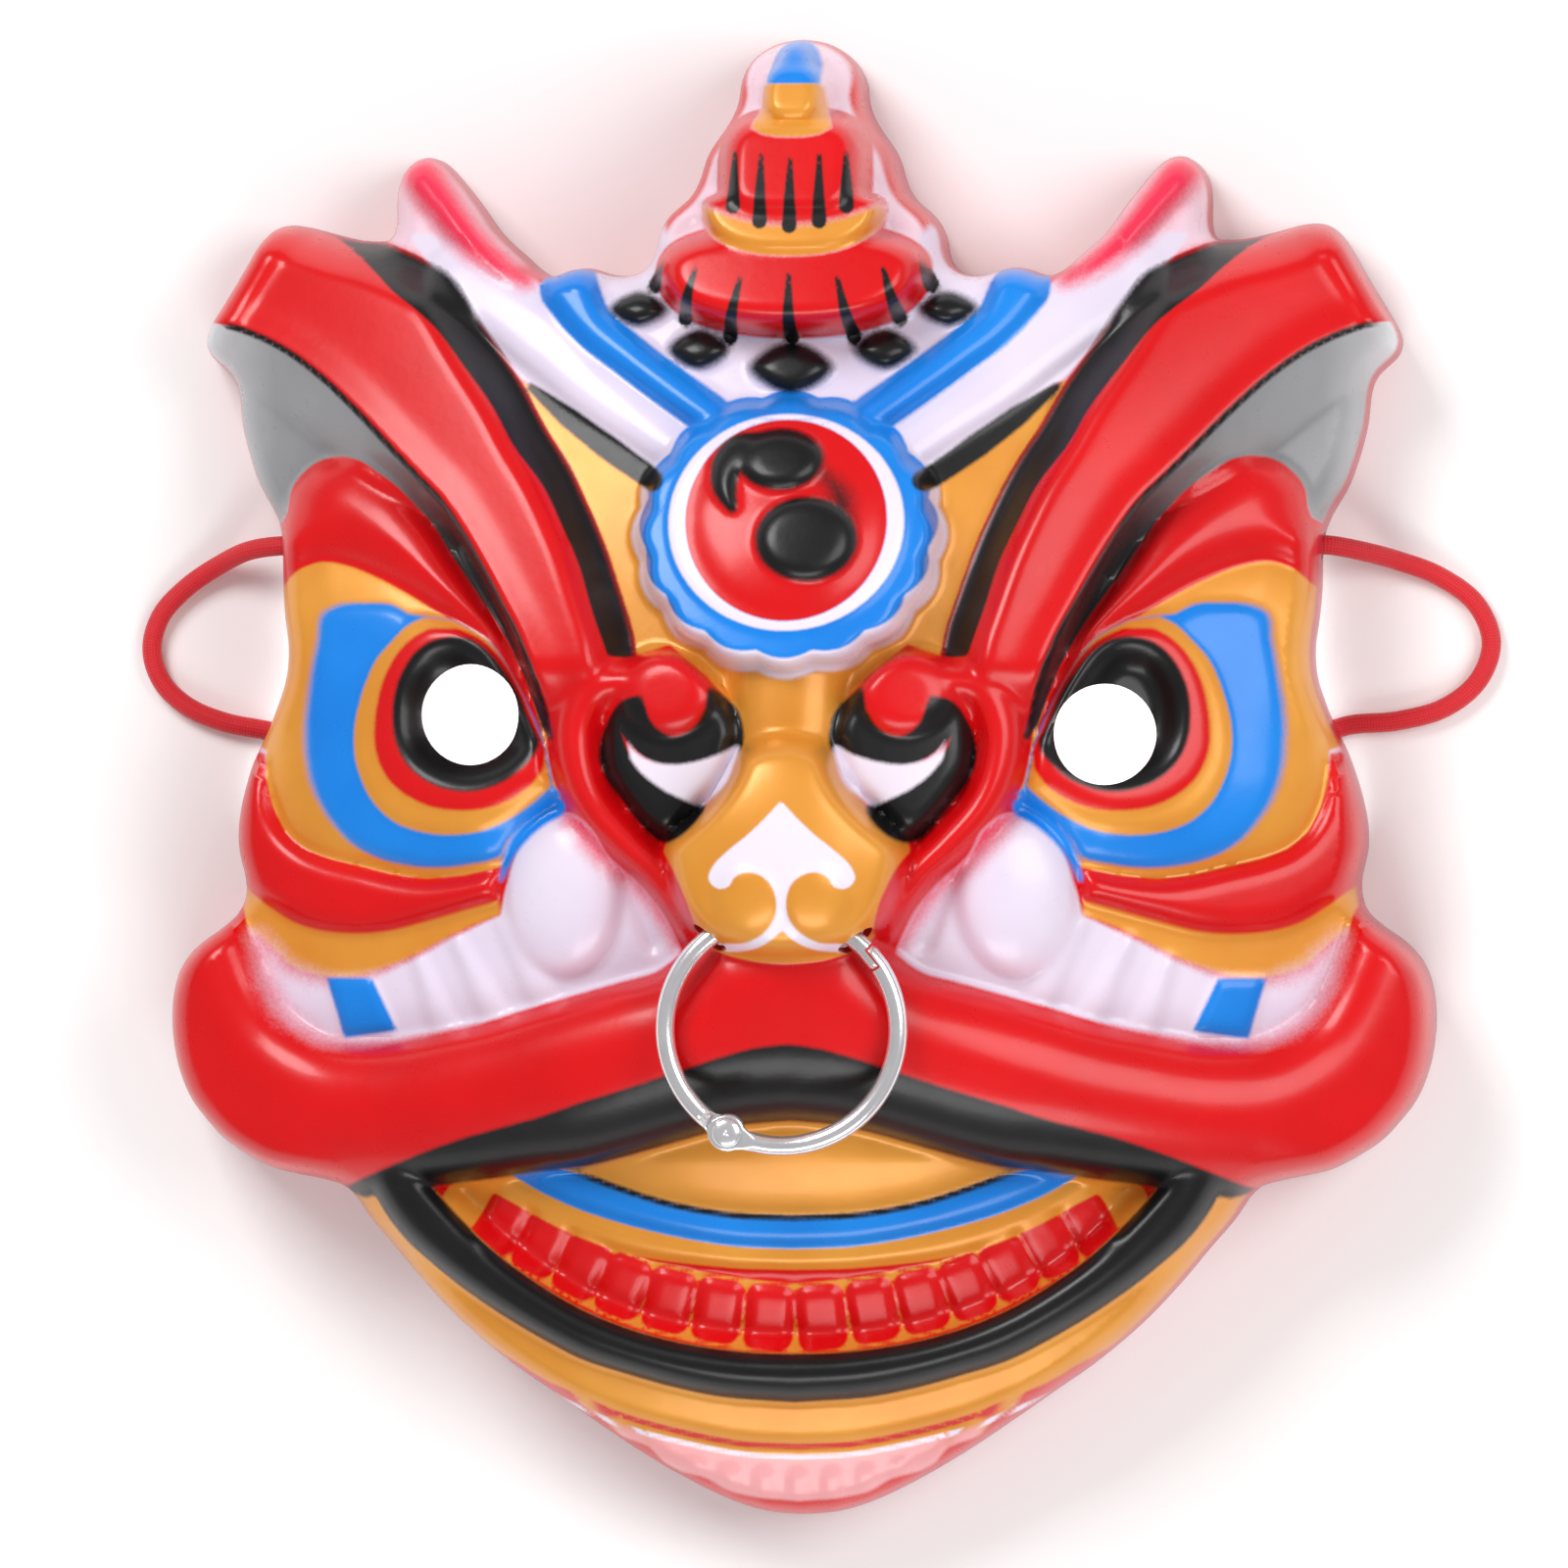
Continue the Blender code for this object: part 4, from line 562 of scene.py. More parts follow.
def brows(x, y):
    """Two folded red ridges that run up to the corners, with a drop to the temples."""
    outline = np.concatenate([smooth_run(BROW_TOP, 1.5), smooth_run(BROW_EDGE[::-1], 1.5)])
    inside = depth_in(x, y, outline) > 0
    from_top = gap_to_line(x, y, BROW_TOP)
    from_edge = gap_to_line(x, y, BROW_EDGE)
    drop = BROW_DROP[0] + (BROW_DROP[1] - BROW_DROP[0]) * ramp(x - 45, 32)
    fall = np.where(from_edge < from_top, np.clip(1 - from_edge / drop, 0, 1) ** 0.8, 0)
    rise = np.where(inside, 1.0, fall) * ramp(from_top, 8.0) * ramp(y - 4, 14)
    crest = np.where(inside, np.exp(-(from_edge / 3) ** 2), fall)
    return BROW_RISE * rise + 1.0 * crest * ramp(y - 4, 14)


# %% Eyes and cheeks
# Each coloured ring round the eye: its outline, its rise and the width of its rounded edge
EYE_RINGS = ((EYE_BLUE, 0.9, 1.8), (EYE_GOLD, 0.8, 1.6), (EYE_RED, 0.6, 1.2))
# The folds of the cheek, each from its top to its foot
CHEEK_FOLDS = (((51, -25), (45, -36.5)), ((57, -28), (53, -38.5)), ((44, -22), (38, -33)))
CHEEK_CREASE = [(24.5, -15), (20.5, -25)]


def eyes(x, y):
    lids = LID_RISE * rounded(depth_in(x, y, joined(EYELID)), 8.0)
    ball = EYEBALL_RISE * rounded(depth_in(x, y, joined(EYE_SOCKET)), 13.0)
    for outline, rise, width in EYE_RINGS:
        ball = ball + rise * rounded(depth_in(x, y, joined(outline)), width)
    dish = DISH_DEPTH * ramp(depth_in(x, y, joined(EYE_DISH)), 6.0)
    band = 3.4 * rounded(depth_in(x, y, joined(EYE_BAND)), 3.6)
    return soft_max(lids, ball, 0.8) - dish + band


def cheeks(x, y):
    ball = 4.5 * rounded(depth_in_oval(x, y, *CHEEK_BALL), 8.0)
    tab = 0.9 * rounded(depth_in(x, y, np.concatenate([np.array(run, float) for run in BLUE_TAB])), 0.9)
    folds = 0
    for fold in CHEEK_FOLDS:
        folds = folds + 1.1 * rounded(depth_in_stroke(x, y, fold, [1.2, 2.4]), 2.2)
    crease = 1.2 * rounded(depth_in_stroke(x, y, CHEEK_CREASE, [1.2, 1.8]), 1.8)
    return np.maximum(ball, tab + folds) - crease


# %% Lip, nose, curls and collars
BRIDGE = [(0, 22), (0, 2)]
BRIDGE_HALF = [9, 8]
NOSTRIL = ((5.2, -18.6), (5.0, 5.4))


def muzzle(x, y):
    """The upper lip, the nose, and the curl and collar beside it. Around them it lies below the
    face, which then shows."""
    in_lip = depth_in(x, y, mirrored(joined(LIP)))
    in_nose = depth_in(x, y, mirrored(joined(NOSE)))
    in_curl = depth_in(x, y, joined(CURL))
    in_collar = depth_in_stroke(x, y, COLLAR, COLLAR_HALF)
    in_bridge = depth_in_stroke(x, y, BRIDGE, BRIDGE_HALF)
    (_, middle), (half_wide, half_tall) = NOSE_MIDDLE
    arch = np.clip(1 - ((x / half_wide) ** 2 + ((y - middle) / half_tall) ** 2), 0, 1)
    nose = NOSE_RISE * rounded(in_nose, 3.7) + NOSE_ARCH * arch
    nostril = 1.2 * rounded(depth_in_oval(x, y, *NOSTRIL), 4.0)
    head = HEAD_RISE * rounded(depth_in_oval(x, y, *CURL_HEAD), 5.2)
    beside = np.maximum(5.5 * rounded(in_curl, 3.2), COLLAR_RISE * rounded(in_collar, 4.2))
    beside = np.maximum(beside, head)
    rise = soft_max(LIP_RISE * rounded(in_lip, 11.5), beside, 1.0)
    rise = np.maximum(rise, 5.5 * rounded(in_bridge, 8.0))
    rise = np.where(in_nose > 0, np.maximum(rise, nose + nostril), rise)
    within = np.maximum.reduce([in_lip, in_nose, in_curl, in_collar, in_bridge])
    return np.where(within > 0, rise, -MUZZLE_ROOT)


# %% Forehead, medal and horn
RIB_KNOB = ((30.6, 76.6), (2.4, 2.0))


def forehead(x, y, signed_x):
    rib = 3.6 * rounded(depth_in_stroke(x, y, RIB, RIB_HALF), 3.0)
    knob = 3.0 * rounded(depth_in_oval(x, y, *RIB_KNOB), 2.0)
    sash = 2.0 * rounded(depth_in_stroke(x, y, SASH, SASH_HALF), 3.6)
    groove = 1.6 * ramp(depth_in_stroke(x, y, GROOVE, GROOVE_HALF), 1.8)
    ear = 2.2 * rounded(depth_in_stroke(x, y, EAR_EDGE, EAR_HALF), 2.4)
    studs = 0
    for middle, radii in STUDS:
        studs = studs + 3.0 * rounded(depth_in_stud(x, y, middle, radii), 2.4)
    bands = np.maximum(np.maximum(rib, knob), sash) - groove + ear + studs
    return np.maximum(bands, medal(x, y, signed_x))


def scalloped(x, y, middle, radii):
    """The depth inside an oval whose edge is a row of round petals."""
    turn = np.arctan2((y - middle[1]) / radii[1], (x - middle[0]) / radii[0])
    petal = np.abs(np.cos(turn * SCALLOPS / 2 - math.pi / 2 * SCALLOPS / 2))
    return depth_in_oval(x, y, middle, radii) - SCALLOP_DEPTH * (1 - petal)


def medal(x, y, signed_x):
    foot = ramp(scalloped(x, y, *MEDAL_FOOT), 2.4)
    rise = (MEDAL_RISE + 0.1 * (MEDAL[0][1] - y)) * foot
    ring = 0.9 * rounded(depth_in_oval(x, y, *MEDAL_RING), 0.9)
    in_boss = depth_in_oval(x, y, *MEDAL_BOSS)
    boss = 2.8 * rounded(in_boss, 13.0) - 0.9 * ramp(in_boss, 0.8)
    heads = 0
    for middle, radii in SWIRL_HEADS:
        heads = np.maximum(heads, 2.2 * rounded(depth_in_oval(signed_x, y, middle, radii), 2.6))
    tail = 1.5 * rounded(depth_in_stroke(signed_x, y, SWIRL_TAIL, SWIRL_TAIL_HALF), 2.0)
    return rise + ring + boss + np.maximum(heads, tail)


def horn(x, y):
    """A stepped cone: a flared foot, a drum, a domed cap, a collar and a pointed tip."""
    tiers = np.zeros(len(x))
    for tier in (HORN_FOOT, HORN_DRUM, HORN_CAP, HORN_COLLAR, HORN_TIP):
        rise, edge = tier[5:]
        tiers = np.maximum(tiers, rise * rounded(depth_in_tier(x, y, tier), edge))
    return tiers


# %% Teeth and mouth
TOOTH_CORNER = 1.6
# Lines that close the mouth's shapes above their arcs
MOUTH_TOP = [(0, -46)]
BEARD_TOP = [(62, -80), (85, -57), (0, -46)]


def tooth_places():
    """The middle and the lean of each tooth on the right side."""
    line = smooth_run(TOOTH_ROW, 0.25)
    along = np.concatenate([[0], np.cumsum(np.linalg.norm(np.diff(line, axis=0), axis=1))])
    at = TOOTH_PITCH[0] / 2
    for i in range(TEETH_A_SIDE):
        place = np.array([np.interp(at, along, line[:, k]) for k in (0, 1)])
        ahead = np.array([np.interp(at + 1, along, line[:, k]) for k in (0, 1)])
        share = i / (TEETH_A_SIDE - 1)
        yield place, math.atan2(*(ahead - place)[::-1]), 1 - 0.1 * share, 1 - 0.12 * share
        at += TOOTH_PITCH[0] + (TOOTH_PITCH[1] - TOOTH_PITCH[0]) * min(1, share * 2)


def teeth(x, y):
    """The depth inside the nearest tooth, a small rounded block."""
    depth = np.full(len(x), -FAR)
    for place, lean, wide, tall in tooth_places():
        u = (x - place[0]) * math.cos(lean) + (y - place[1]) * math.sin(lean)
        v = (y - place[1]) * math.cos(lean) - (x - place[0]) * math.sin(lean)
        a = np.abs(u) - TOOTH_HALF[0] * wide + TOOTH_CORNER
        b = np.abs(v) - TOOTH_HALF[1] * tall + TOOTH_CORNER
        outside = np.hypot(np.maximum(a, 0), np.maximum(b, 0)) + np.minimum(np.maximum(a, b), 0)
        depth = np.maximum(depth, TOOTH_CORNER - outside)
    return depth


def arcs(x, y):
    """The depth above each arc of the mouth: palate, blue, gold, gum and chin."""
    for arc in (PALATE_ARC, BLUE_ARC, GOLD_ARC, GUM_ARC, CHIN_ARC):
        yield above_arc(x, y, arc, [(arc[-1][0] + 2, -57)] + MOUTH_TOP)


def mouth(x, y):
    """The palate, two bowed bands, the teeth, the black lower lip and the fringed chin."""
    palate, blue, gold, gum, chin = arcs(x, y)
    beard = above_arc(x, y, BEARD_ARC, BEARD_TOP)
    hollow = -GUM_DEPTH * ramp(gum, 3.0)
    bands = 3.5 * rounded(palate, 12.0) + 2.0 * rounded(np.minimum(blue, -palate), 2.4)
    bands = bands + 1.6 * rounded(np.minimum(gold, -blue), 1.7)
    bite = TEETH_RISE * rounded(teeth(x, y), 1.1)
    lower_lip = LOWER_LIP_RISE * rounded(np.minimum(chin, -gum), 4.0)
    step = BEARD_RISE * rounded(beard, 2.6)
    pleats = PLEAT_RISE * ramp(-beard - 3, 2) * ramp(-88 - y, 6) * np.cos(math.pi * x / PLEAT) ** 2
    return hollow + bands + bite + lower_lip + step + pleats


# %% The rim's arch, and the whole face
def rim_rise(x, y):
    """The rim lies flat, and arches up at the temples to let the elastic pass under it."""
    arch = np.exp(-((y - ARCH_MIDDLE) / ARCH_REACH) ** 4)
    return arch * ramp(x - 55, 12)


def carved(x, y):
    """The face's height over the rim's plane."""
    side = np.abs(x)
    face = ground(side, y) + brows(side, y) + eyes(side, y) + cheeks(side, y)
    face = face + forehead(side, y, x) + horn(side, y) + mouth(side, y)
    return soft_max(face, ground(side, y) + muzzle(side, y), 0.6)


# %% [markdown]
# ## The shell
# The real mask is one sheet of plastic, drawn over a mould, so it has the same thickness
# everywhere. A Solidify modifier would fold over itself in the tight corners. Here the height of
# the face is kept on a fine square grid, and the inner skin is the face that a small ball would
# leave when it rolls along under it. Both skins and the flat rim between them are triangles.

# %% The rim's line
def even_loop(loop, step):
    """A closed outline sampled again at even steps."""
    closed = np.concatenate([loop, loop[:1]])
    along = np.concatenate([[0], np.cumsum(np.linalg.norm(np.diff(closed, axis=0), axis=1))])
    at = np.linspace(0, along[-1], max(8, round(along[-1] / step)), endpoint=False)
    return np.stack([np.interp(at, along, closed[:, k]) for k in (0, 1)], 1)


def rim_line():
    """The rim in metres, with its corners eased."""
    loop = even_loop(mirrored(joined(RIM, 1.0)) * (UNIT_X, UNIT_Y), RELIEF_STEP)
    for _ in range(2):
        loop = (np.roll(loop, 1, 0) + 2 * loop + np.roll(loop, -1, 0)) / 4
    low, high = loop.min(0), loop.max(0)
    return (loop - (low + high) / 2) * (MASK_WIDTH, MASK_HEIGHT) / (high - low)


RIM_LINE = rim_line()
print("rim", len(RIM_LINE), "points")


# %% The heights of the two skins
BED_MARGIN = 0.004


def wall_share(depth):
    """How much of the face's height is reached at a depth inside the rim."""
    t = 1 - np.clip(depth / WALL_RUN, 0, 1)
    return (1 - t ** WALL_SQUARENESS) ** (1 / WALL_SQUARENESS)


class Bed:
    """The face's height on a square grid, and the height of a face a wall's thickness below it."""

    def __init__(self):
        reach = np.array([MASK_WIDTH, MASK_HEIGHT]) / 2 + BED_MARGIN
        self.low = -reach
        xs, ys = (np.arange(-r, r + BED_STEP, BED_STEP) for r in reach)
        gx, gy = np.meshgrid(xs, ys, indexing="ij")
        face = carved(gx.ravel() / UNIT_X, gy.ravel() / UNIT_Y).reshape(gx.shape) * UNIT_Z
        inner = face - WALL
        cells = int(WALL / BED_STEP)
        for i in range(-cells, cells + 1):
            for j in range(-cells, cells + 1):
                aside = (i * i + j * j) * BED_STEP ** 2
                if aside <= WALL ** 2:
                    ball = math.sqrt(WALL ** 2 - aside)
                    inner = np.minimum(inner, np.roll(face, (i, j), (0, 1)) - ball)
        self.inner = inner
        for _ in range(SOFTENING):
            for axis in (0, 1):
                face = (np.roll(face, 1, axis) + 2 * face + np.roll(face, -1, axis)) / 4
        self.outer = face

    def sample(self, grid, x, y):
        u, v = (x - self.low[0]) / BED_STEP, (y - self.low[1]) / BED_STEP
        i = np.clip(u.astype(int), 0, grid.shape[0] - 2)
        j = np.clip(v.astype(int), 0, grid.shape[1] - 2)
        u, v = u - i, v - j
        a = grid[i, j] * (1 - u) + grid[i + 1, j] * u
        b = grid[i, j + 1] * (1 - u) + grid[i + 1, j + 1] * u
        return a * (1 - v) + b * v


BED = Bed()
print("face height kept at", BED.outer.size, "places")


def rim_height(x, y):
    """The rim's height: flat on the floor, but for the arch at each temple."""
    return rim_rise(np.abs(x) / UNIT_X, y / UNIT_Y) * TEMPLE_ARCH


def outer_skin(x, y, depth):
    rim = rim_height(x, y)
    return rim + (BED.sample(BED.outer, x, y) - rim) * wall_share(depth)


def inner_skin(x, y, depth):
    rim = rim_height(x, y)
    return rim + (BED.sample(BED.inner, x, y) - rim) * wall_share(depth - WALL)


def inside_rim(x, y):
    return depth_in(x, y, RIM_LINE, 0.02)


# %% Triangles for the shell
def loop_inside(loop, depth, step):
    """The line a depth inside the rim, found by moving a loop that lies near it."""
    nudge = 1e-5
    for _ in range(4):
        loop = even_loop(loop, step)
        here = inside_rim(loop[:, 0], loop[:, 1])
        slope = np.stack([
            inside_rim(loop[:, 0] + nudge, loop[:, 1]) - here,
            inside_rim(loop[:, 0], loop[:, 1] + nudge) - here,
        ], 1) / nudge
        loop = loop + (depth - here)[:, None] * slope
    return even_loop(loop, step)


def lattice(step):
    """Points in even rows, each row half a step aside from the last."""
    rows = []
    for n, y in enumerate(np.arange(-MASK_HEIGHT / 2, MASK_HEIGHT / 2, step * math.sqrt(3) / 2)):
        xs = np.arange(-MASK_WIDTH / 2, MASK_WIDTH / 2, step) + (n % 2) * step / 2
        rows.append(np.stack([xs, np.full(len(xs), y)], 1))
    return np.concatenate(rows)


def plan(loops, field):
    """Triangles inside the first loop, with edges along every loop."""
    points, edges = [], []
    for loop in loops:
        first = sum(len(p) for p in points)
        count = len(loop)
        edges += [(first + i, first + (i + 1) % count) for i in range(count)]
        points.append(loop)
    points = np.concatenate(points + [field])
    verts, _, faces, _, _, _ = delaunay_2d_cdt([Vector(p) for p in points], edges, [], 0, 1e-7)
    flat = np.array([v[:] for v in verts])
    faces = np.array(faces)
    middles = flat[faces].mean(1)
    return flat, faces[depth_in(middles[:, 0], middles[:, 1], loops[0], 0.02) > 0]


def skin_plan(loops, step):
    """The plan of one skin: its loops near the rim, and even points within the last of them."""
    field = lattice(step)
    last = inside_rim(*loops[-1][:1].T)[0]
    return plan(loops, field[inside_rim(*field.T) > last + 0.5 * step])


def mask_mesh():
    run = np.roll(RIM_LINE, -1, 0) - np.roll(RIM_LINE, 1, 0)
    inward = np.stack([run[:, 1], -run[:, 0]], 1) / np.linalg.norm(run, axis=1)[:, None]
    if inside_rim(*(RIM_LINE[:1] + inward[:1] * WALL).T)[0] < 0:
        inward = -inward
    outside = [RIM_LINE, RIM_LINE + inward * 0.03 * WALL_RUN]
    for share in (0.12, 0.3, 0.6, 1.0):
        outside.append(loop_inside(outside[-1], share * WALL_RUN, RELIEF_STEP))
    inside = [loop_inside(outside[-2], WALL, INSIDE_STEP)]
    for share in (0.05, 0.25, 0.6, 1.0):
        inside.append(loop_inside(inside[-1], WALL + share * WALL_RUN, INSIDE_STEP))
    mesh = bmesh.new()
    rims = []
    for loops, step, skin in ((outside, RELIEF_STEP, outer_skin), (inside, INSIDE_STEP, inner_skin)):
        flat, faces = skin_plan(loops, step)
        height = skin(*flat.T, inside_rim(*flat.T))
        height[:len(loops[0])] = rim_height(*loops[0].T)
        verts = [mesh.verts.new((*p, z)) for p, z in zip(flat, height)]
        for face in faces:
            mesh.faces.new([verts[i] for i in face])
        rims += verts[:len(loops[0])]
    flat, faces = plan([outside[0], inside[0]], np.empty((0, 2)))
    middles = flat[faces].mean(1)
    for face in faces[depth_in(*middles.T, inside[0], 0.02) < 0]:
        mesh.faces.new([rims[i] for i in face])
    bmesh.ops.recalc_face_normals(mesh, faces=mesh.faces)
    return mesh


# %% Pieces, and where the ring stands
def add(name, mesh, body, material_slot, *nodes):
    """An object from a mesh in the mask's own frame, which rides on a body of the CAD part."""
    data = bpy.data.meshes.new(name)
    mesh.to_mesh(data)
    mesh.free()
    made = bpy.data.objects.new(name, data)
    bpy.context.scene.collection.objects.link(made)
    data.shade_smooth()
    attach(made, body)
    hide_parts(*nodes)
    return made


def rod(middle, direction, across, length):
    """A round bar, to cut a hole with."""
    mesh = bmesh.new()
    turn = Vector((0, 0, 1)).rotation_difference(Vector(direction)).to_matrix().to_4x4()
    bmesh.ops.create_cone(
        mesh, cap_ends=True, segments=HOLE_SIDES, radius1=across / 2, radius2=across / 2, depth=length,
        matrix=Matrix.Translation(Vector(middle)) @ turn,
    )
    return mesh


def ring_frame():
    """The ring's middle, and the directions across it, up it and square to it."""
    tilt = math.radians(RING_TILT_DEG)
    across = np.array([1.0, 0.0, 0.0])
    up = np.array([0.0, math.cos(tilt), -math.sin(tilt)])
    pivot = np.array([RING_SIDE * UNIT_X, NOSE_HOLES_Y * UNIT_Y, RING_AXIS_RISE * UNIT_Z])
    return pivot - RING_DROP * up, across, up, np.cross(across, up)


def nose_holes():
    """Where the ring's wire passes through each side of the nose, and the way each hole runs."""
    middle, across, up, square = ring_frame()
    radius = (RING_OUTSIDE - RING_WIRE) / 2
    reach = math.sqrt(radius ** 2 - RING_DROP ** 2)
    half = math.radians(RING_SWING_DEG / 2)
    for side in (-1, 1):
        place = middle + side * reach * across + RING_DROP * up
        along = (RING_DROP * across - side * reach * (math.cos(half) * up - math.sin(half) * square)) / radius
        yield place, along


# %% [markdown]
# ## The holes
# The eyes, the nose and the temples were punched. A round cutter and a Boolean modifier do the
# same. All the cutters go on first, and the result is taken once. In the photograph the white
# ground shows through the eyes, so a small lamp under each eye lights the floor inside the mask.

# %% Cut the holes
def cut(target, mesh):
    """A hole in the shape of a mesh."""
    data = bpy.data.meshes.new("cutter")
    mesh.to_mesh(data)
    mesh.free()
    cutter = bpy.data.objects.new("cutter", data)
    bpy.context.scene.collection.objects.link(cutter)
    hole = target.modifiers.new("hole", "BOOLEAN")
    hole.operation = "DIFFERENCE"
    hole.solver = "EXACT"
    hole.object = cutter
    return cutter


mask = add("mask", mask_mesh(), "mask", "red_plastic", "mask_shell")
cutters = []
for x, y in EYE_HOLES:
    place = (x * UNIT_X, y * UNIT_Y, MASK_DEPTH / 2)
    cutters.append(cut(mask, rod(place, (0, 0, 1), EYE_HOLE, MASK_DEPTH * 1.5)))
for place, along in nose_holes():
    cutters.append(cut(mask, rod(place, along, RING_HOLE, 5 * WALL)))
for side in (-1, 1):
    place = (side * TEMPLE_HOLE[0] * UNIT_X, TEMPLE_HOLE[1] * UNIT_Y, TEMPLE_HOLE_RISE)
    cutters.append(cut(mask, rod(place, (1, 0, 0), CORD_HOLE, 5 * WALL)))
shown = mask.evaluated_get(bpy.context.evaluated_depsgraph_get())
holed = bpy.data.meshes.new_from_object(shown)
mask.modifiers.clear()
mask.data = holed
for cutter in cutters:
    bpy.data.objects.remove(cutter, do_unlink=True)
holed.shade_smooth()
holed.set_sharp_from_angle(angle=math.radians(55))
print("mask", len(holed.vertices), "points,", len(holed.polygons), "faces")

# %% Light the floor under the eyes
EYE_LAMP_RISE = 0.02
EYE_LAMP_SIZE = 0.05
EYE_LAMP_WATTS = 0.02
for x, y in EYE_HOLES:
    x, y = x * UNIT_X, y * UNIT_Y
    glow = lamp("under eye", (x, y, EYE_LAMP_RISE), (x, y, 0), (EYE_LAMP_SIZE, EYE_LAMP_SIZE), EYE_LAMP_WATTS)
    glow.visible_camera = False
print("a lamp under each eye")


# %% [markdown]
# ## Where the paint goes
# The real mask was sprayed through stencils, one colour after another, so most edges are crisp
# with a little mist, and a few fade over several millimetres. An image would hold one fixed
# picture of that. Instead each colour is a number stored at every point of the mesh, which rises
# through 0.5 at the stencil's edge and changes faster where the edge is crisp. The material then
# lays the colours over each other in the order in which they were sprayed.

# %% Lines of the stencils
BROW_INK = [(80, 86.6), (76.4, 84.8), (71.9, 83), (67.7, 80), (64.4, 77), (61.4, 74), (57.6, 71),
            (54.3, 68), (49.7, 62), (45.3, 56), (41.9, 50), (37.4, 44), (34.4, 38), (31.7, 32),
            (29.6, 25.2), (27.5, 19.2), (26.3, 15.5), (25.2, 9)]
EYE_GROUND = [(90, 34), (90, 8), (81, 4), (81.2, 0), (80, -4.5), (78, -8.4), (74.9, -11),
              (70.7, -12.6), (65.9, -13.7), (60.9, -14.9), (55.7, -15.5), (49.7, -15), (44, -13.8),
              (38, -7), (33, -2), (36, 5), (41, 16), (48, 25), (60, 33), (72, 36)]
UNDER_EYE_TOP = [(90, -12), (83, -17.9), (80.4, -19.8), (76.7, -22), (72.2, -23.3), (66.9, -23.7),
                 (61.7, -23.3), (55.7, -21.8), (49.7, -20.1), (44.3, -18.6)]
UNDER_EYE_FOOT = [(44.1, -20.9), (48.2, -22.4), (52.7, -24.5), (57.2, -26.9), (61.7, -28.8),
                  (66.2, -30.2), (70.7, -30.6), (74.9, -29.7), (77.9, -28.4), (80, -26.3),
                  (82.4, -24.3), (90, -18)]
FOREHEAD = [(41.5, 60.5), (34, 53.2), (28, 48.6), (20.5, 43.4), (0, 44), (0, -4), (9, -3), (8, 2),
            (7.5, 8), (12, 15), (18, 20), (26, 17), (25, 22), (28, 30), (33, 41), (40, 53)]
MOUTH = [(0, -48), (40, -56), (62, -60), (78, -61), (84, -60), (68, -68), (60, -78), (47, -90)]
STUD_GROUND = [(0, 50), (13, 53), (20, 58.5), (28, 65), (33, 71), (37, 77), (37, 84), (20, 84),
               (16, 74), (10, 68), (0, 66)]
SASH_WHITE = [(9, 48), (12.3, 51.6), (19, 56.4), (25, 61), (31, 66.2), (35, 71.5), (40, 76),
              (48, 79.6), (56, 83), (60, 83), (56.9, 79), (50.5, 72), (46.4, 67), (41.4, 60.4),
              (38, 58.4), (30, 52), (22.5, 46.6), (12, 44)]
EAR = [(41, 79), (46.5, 84), (49.8, 89), (52.8, 93), (55.5, 96), (58.2, 97.5), (63, 96), (65, 91.2),
       (64, 88), (64, 82), (58, 79.6), (53.1, 76), (46, 74)]
EAR_FLUSH = [(58.5, 93), (54.5, 87.5), (50.1, 82.2), (45.6, 78.5), (41.1, 75.8)]
CHEEK = [
    [(82.6, -24.6), (80, -26.8), (77.9, -28.8), (74.9, -30.1), (70.7, -31), (66.2, -30.6),
     (61.7, -29.2), (57.2, -27.3), (52.7, -24.9), (48.2, -22.8), (44.1, -21)],
    [(43.2, -17), (41, -10.5), (37.4, -6.6), (33, -5.6), (29.6, -8), (27.2, -12), (22.4, -16.4),
     (18.9, -20.8), (16.6, -25.4)],
    [(16.2, -26.6), (20, -29.4), (25.5, -31), (31.5, -32.7), (39.2, -34.9), (46.8, -37.2),
     (54.5, -38.8), (62, -40.1), (70.2, -40.1), (74, -38.8), (78.2, -35.7), (80.9, -31.3)],
]
LIP_INK = [(0, -40.4), (5, -41.1), (10, -42.5), (15.5, -44.3), (20.6, -46), (25.5, -47.6),
           (31.7, -49.5), (37.8, -51.6), (43.9, -53.3), (49.9, -55), (56, -57.2), (61, -59.2),
           (66, -61.4), (70, -63.2)]
CURL_INK = [(11.3, 13.2), (7.5, 9.5), (6.8, 5.7), (7.2, 4.2), (9.8, 2.7), (13.5, 2), (16.5, 1.8),
            (20.3, 2.7), (23.3, 5), (24.8, 7.2), (21.9, 11.3), (21, 8.7), (19.5, 6.8), (17.3, 5.7),
            (15, 6.2), (13.1, 7.7), (11.7, 10.2)]
CURL_INK_SIDE = [(21.9, 11.9), (24.8, 11), (26.6, 8.7), (27.8, 5.7), (28.1, 2.7), (27, -0.3),
                 (24.8, -3.3), (22.5, -6.3), (20.3, -8.6), (18.5, -9.6), (15.8, -8.6), (13.1, -5.9),
                 (12.5, -4.4), (15.8, -3.3), (18.8, -1.8), (21.8, 0.5), (23.6, 2.7), (24.8, 5),
                 (25.4, 7.2)]
CURL_WHITE = [(24, 5.4), (22.5, 3.5), (20.3, 2.3), (17.3, 1.8), (13.5, 2.3), (9.8, 3.5), (7.2, 4.7),
              (8, 1.2), (9, -1.1), (11.3, -3.3), (12.8, -4.4), (15.8, -3.3), (18.8, -1.8),
              (21.8, 0.5), (23.6, 2.7)]
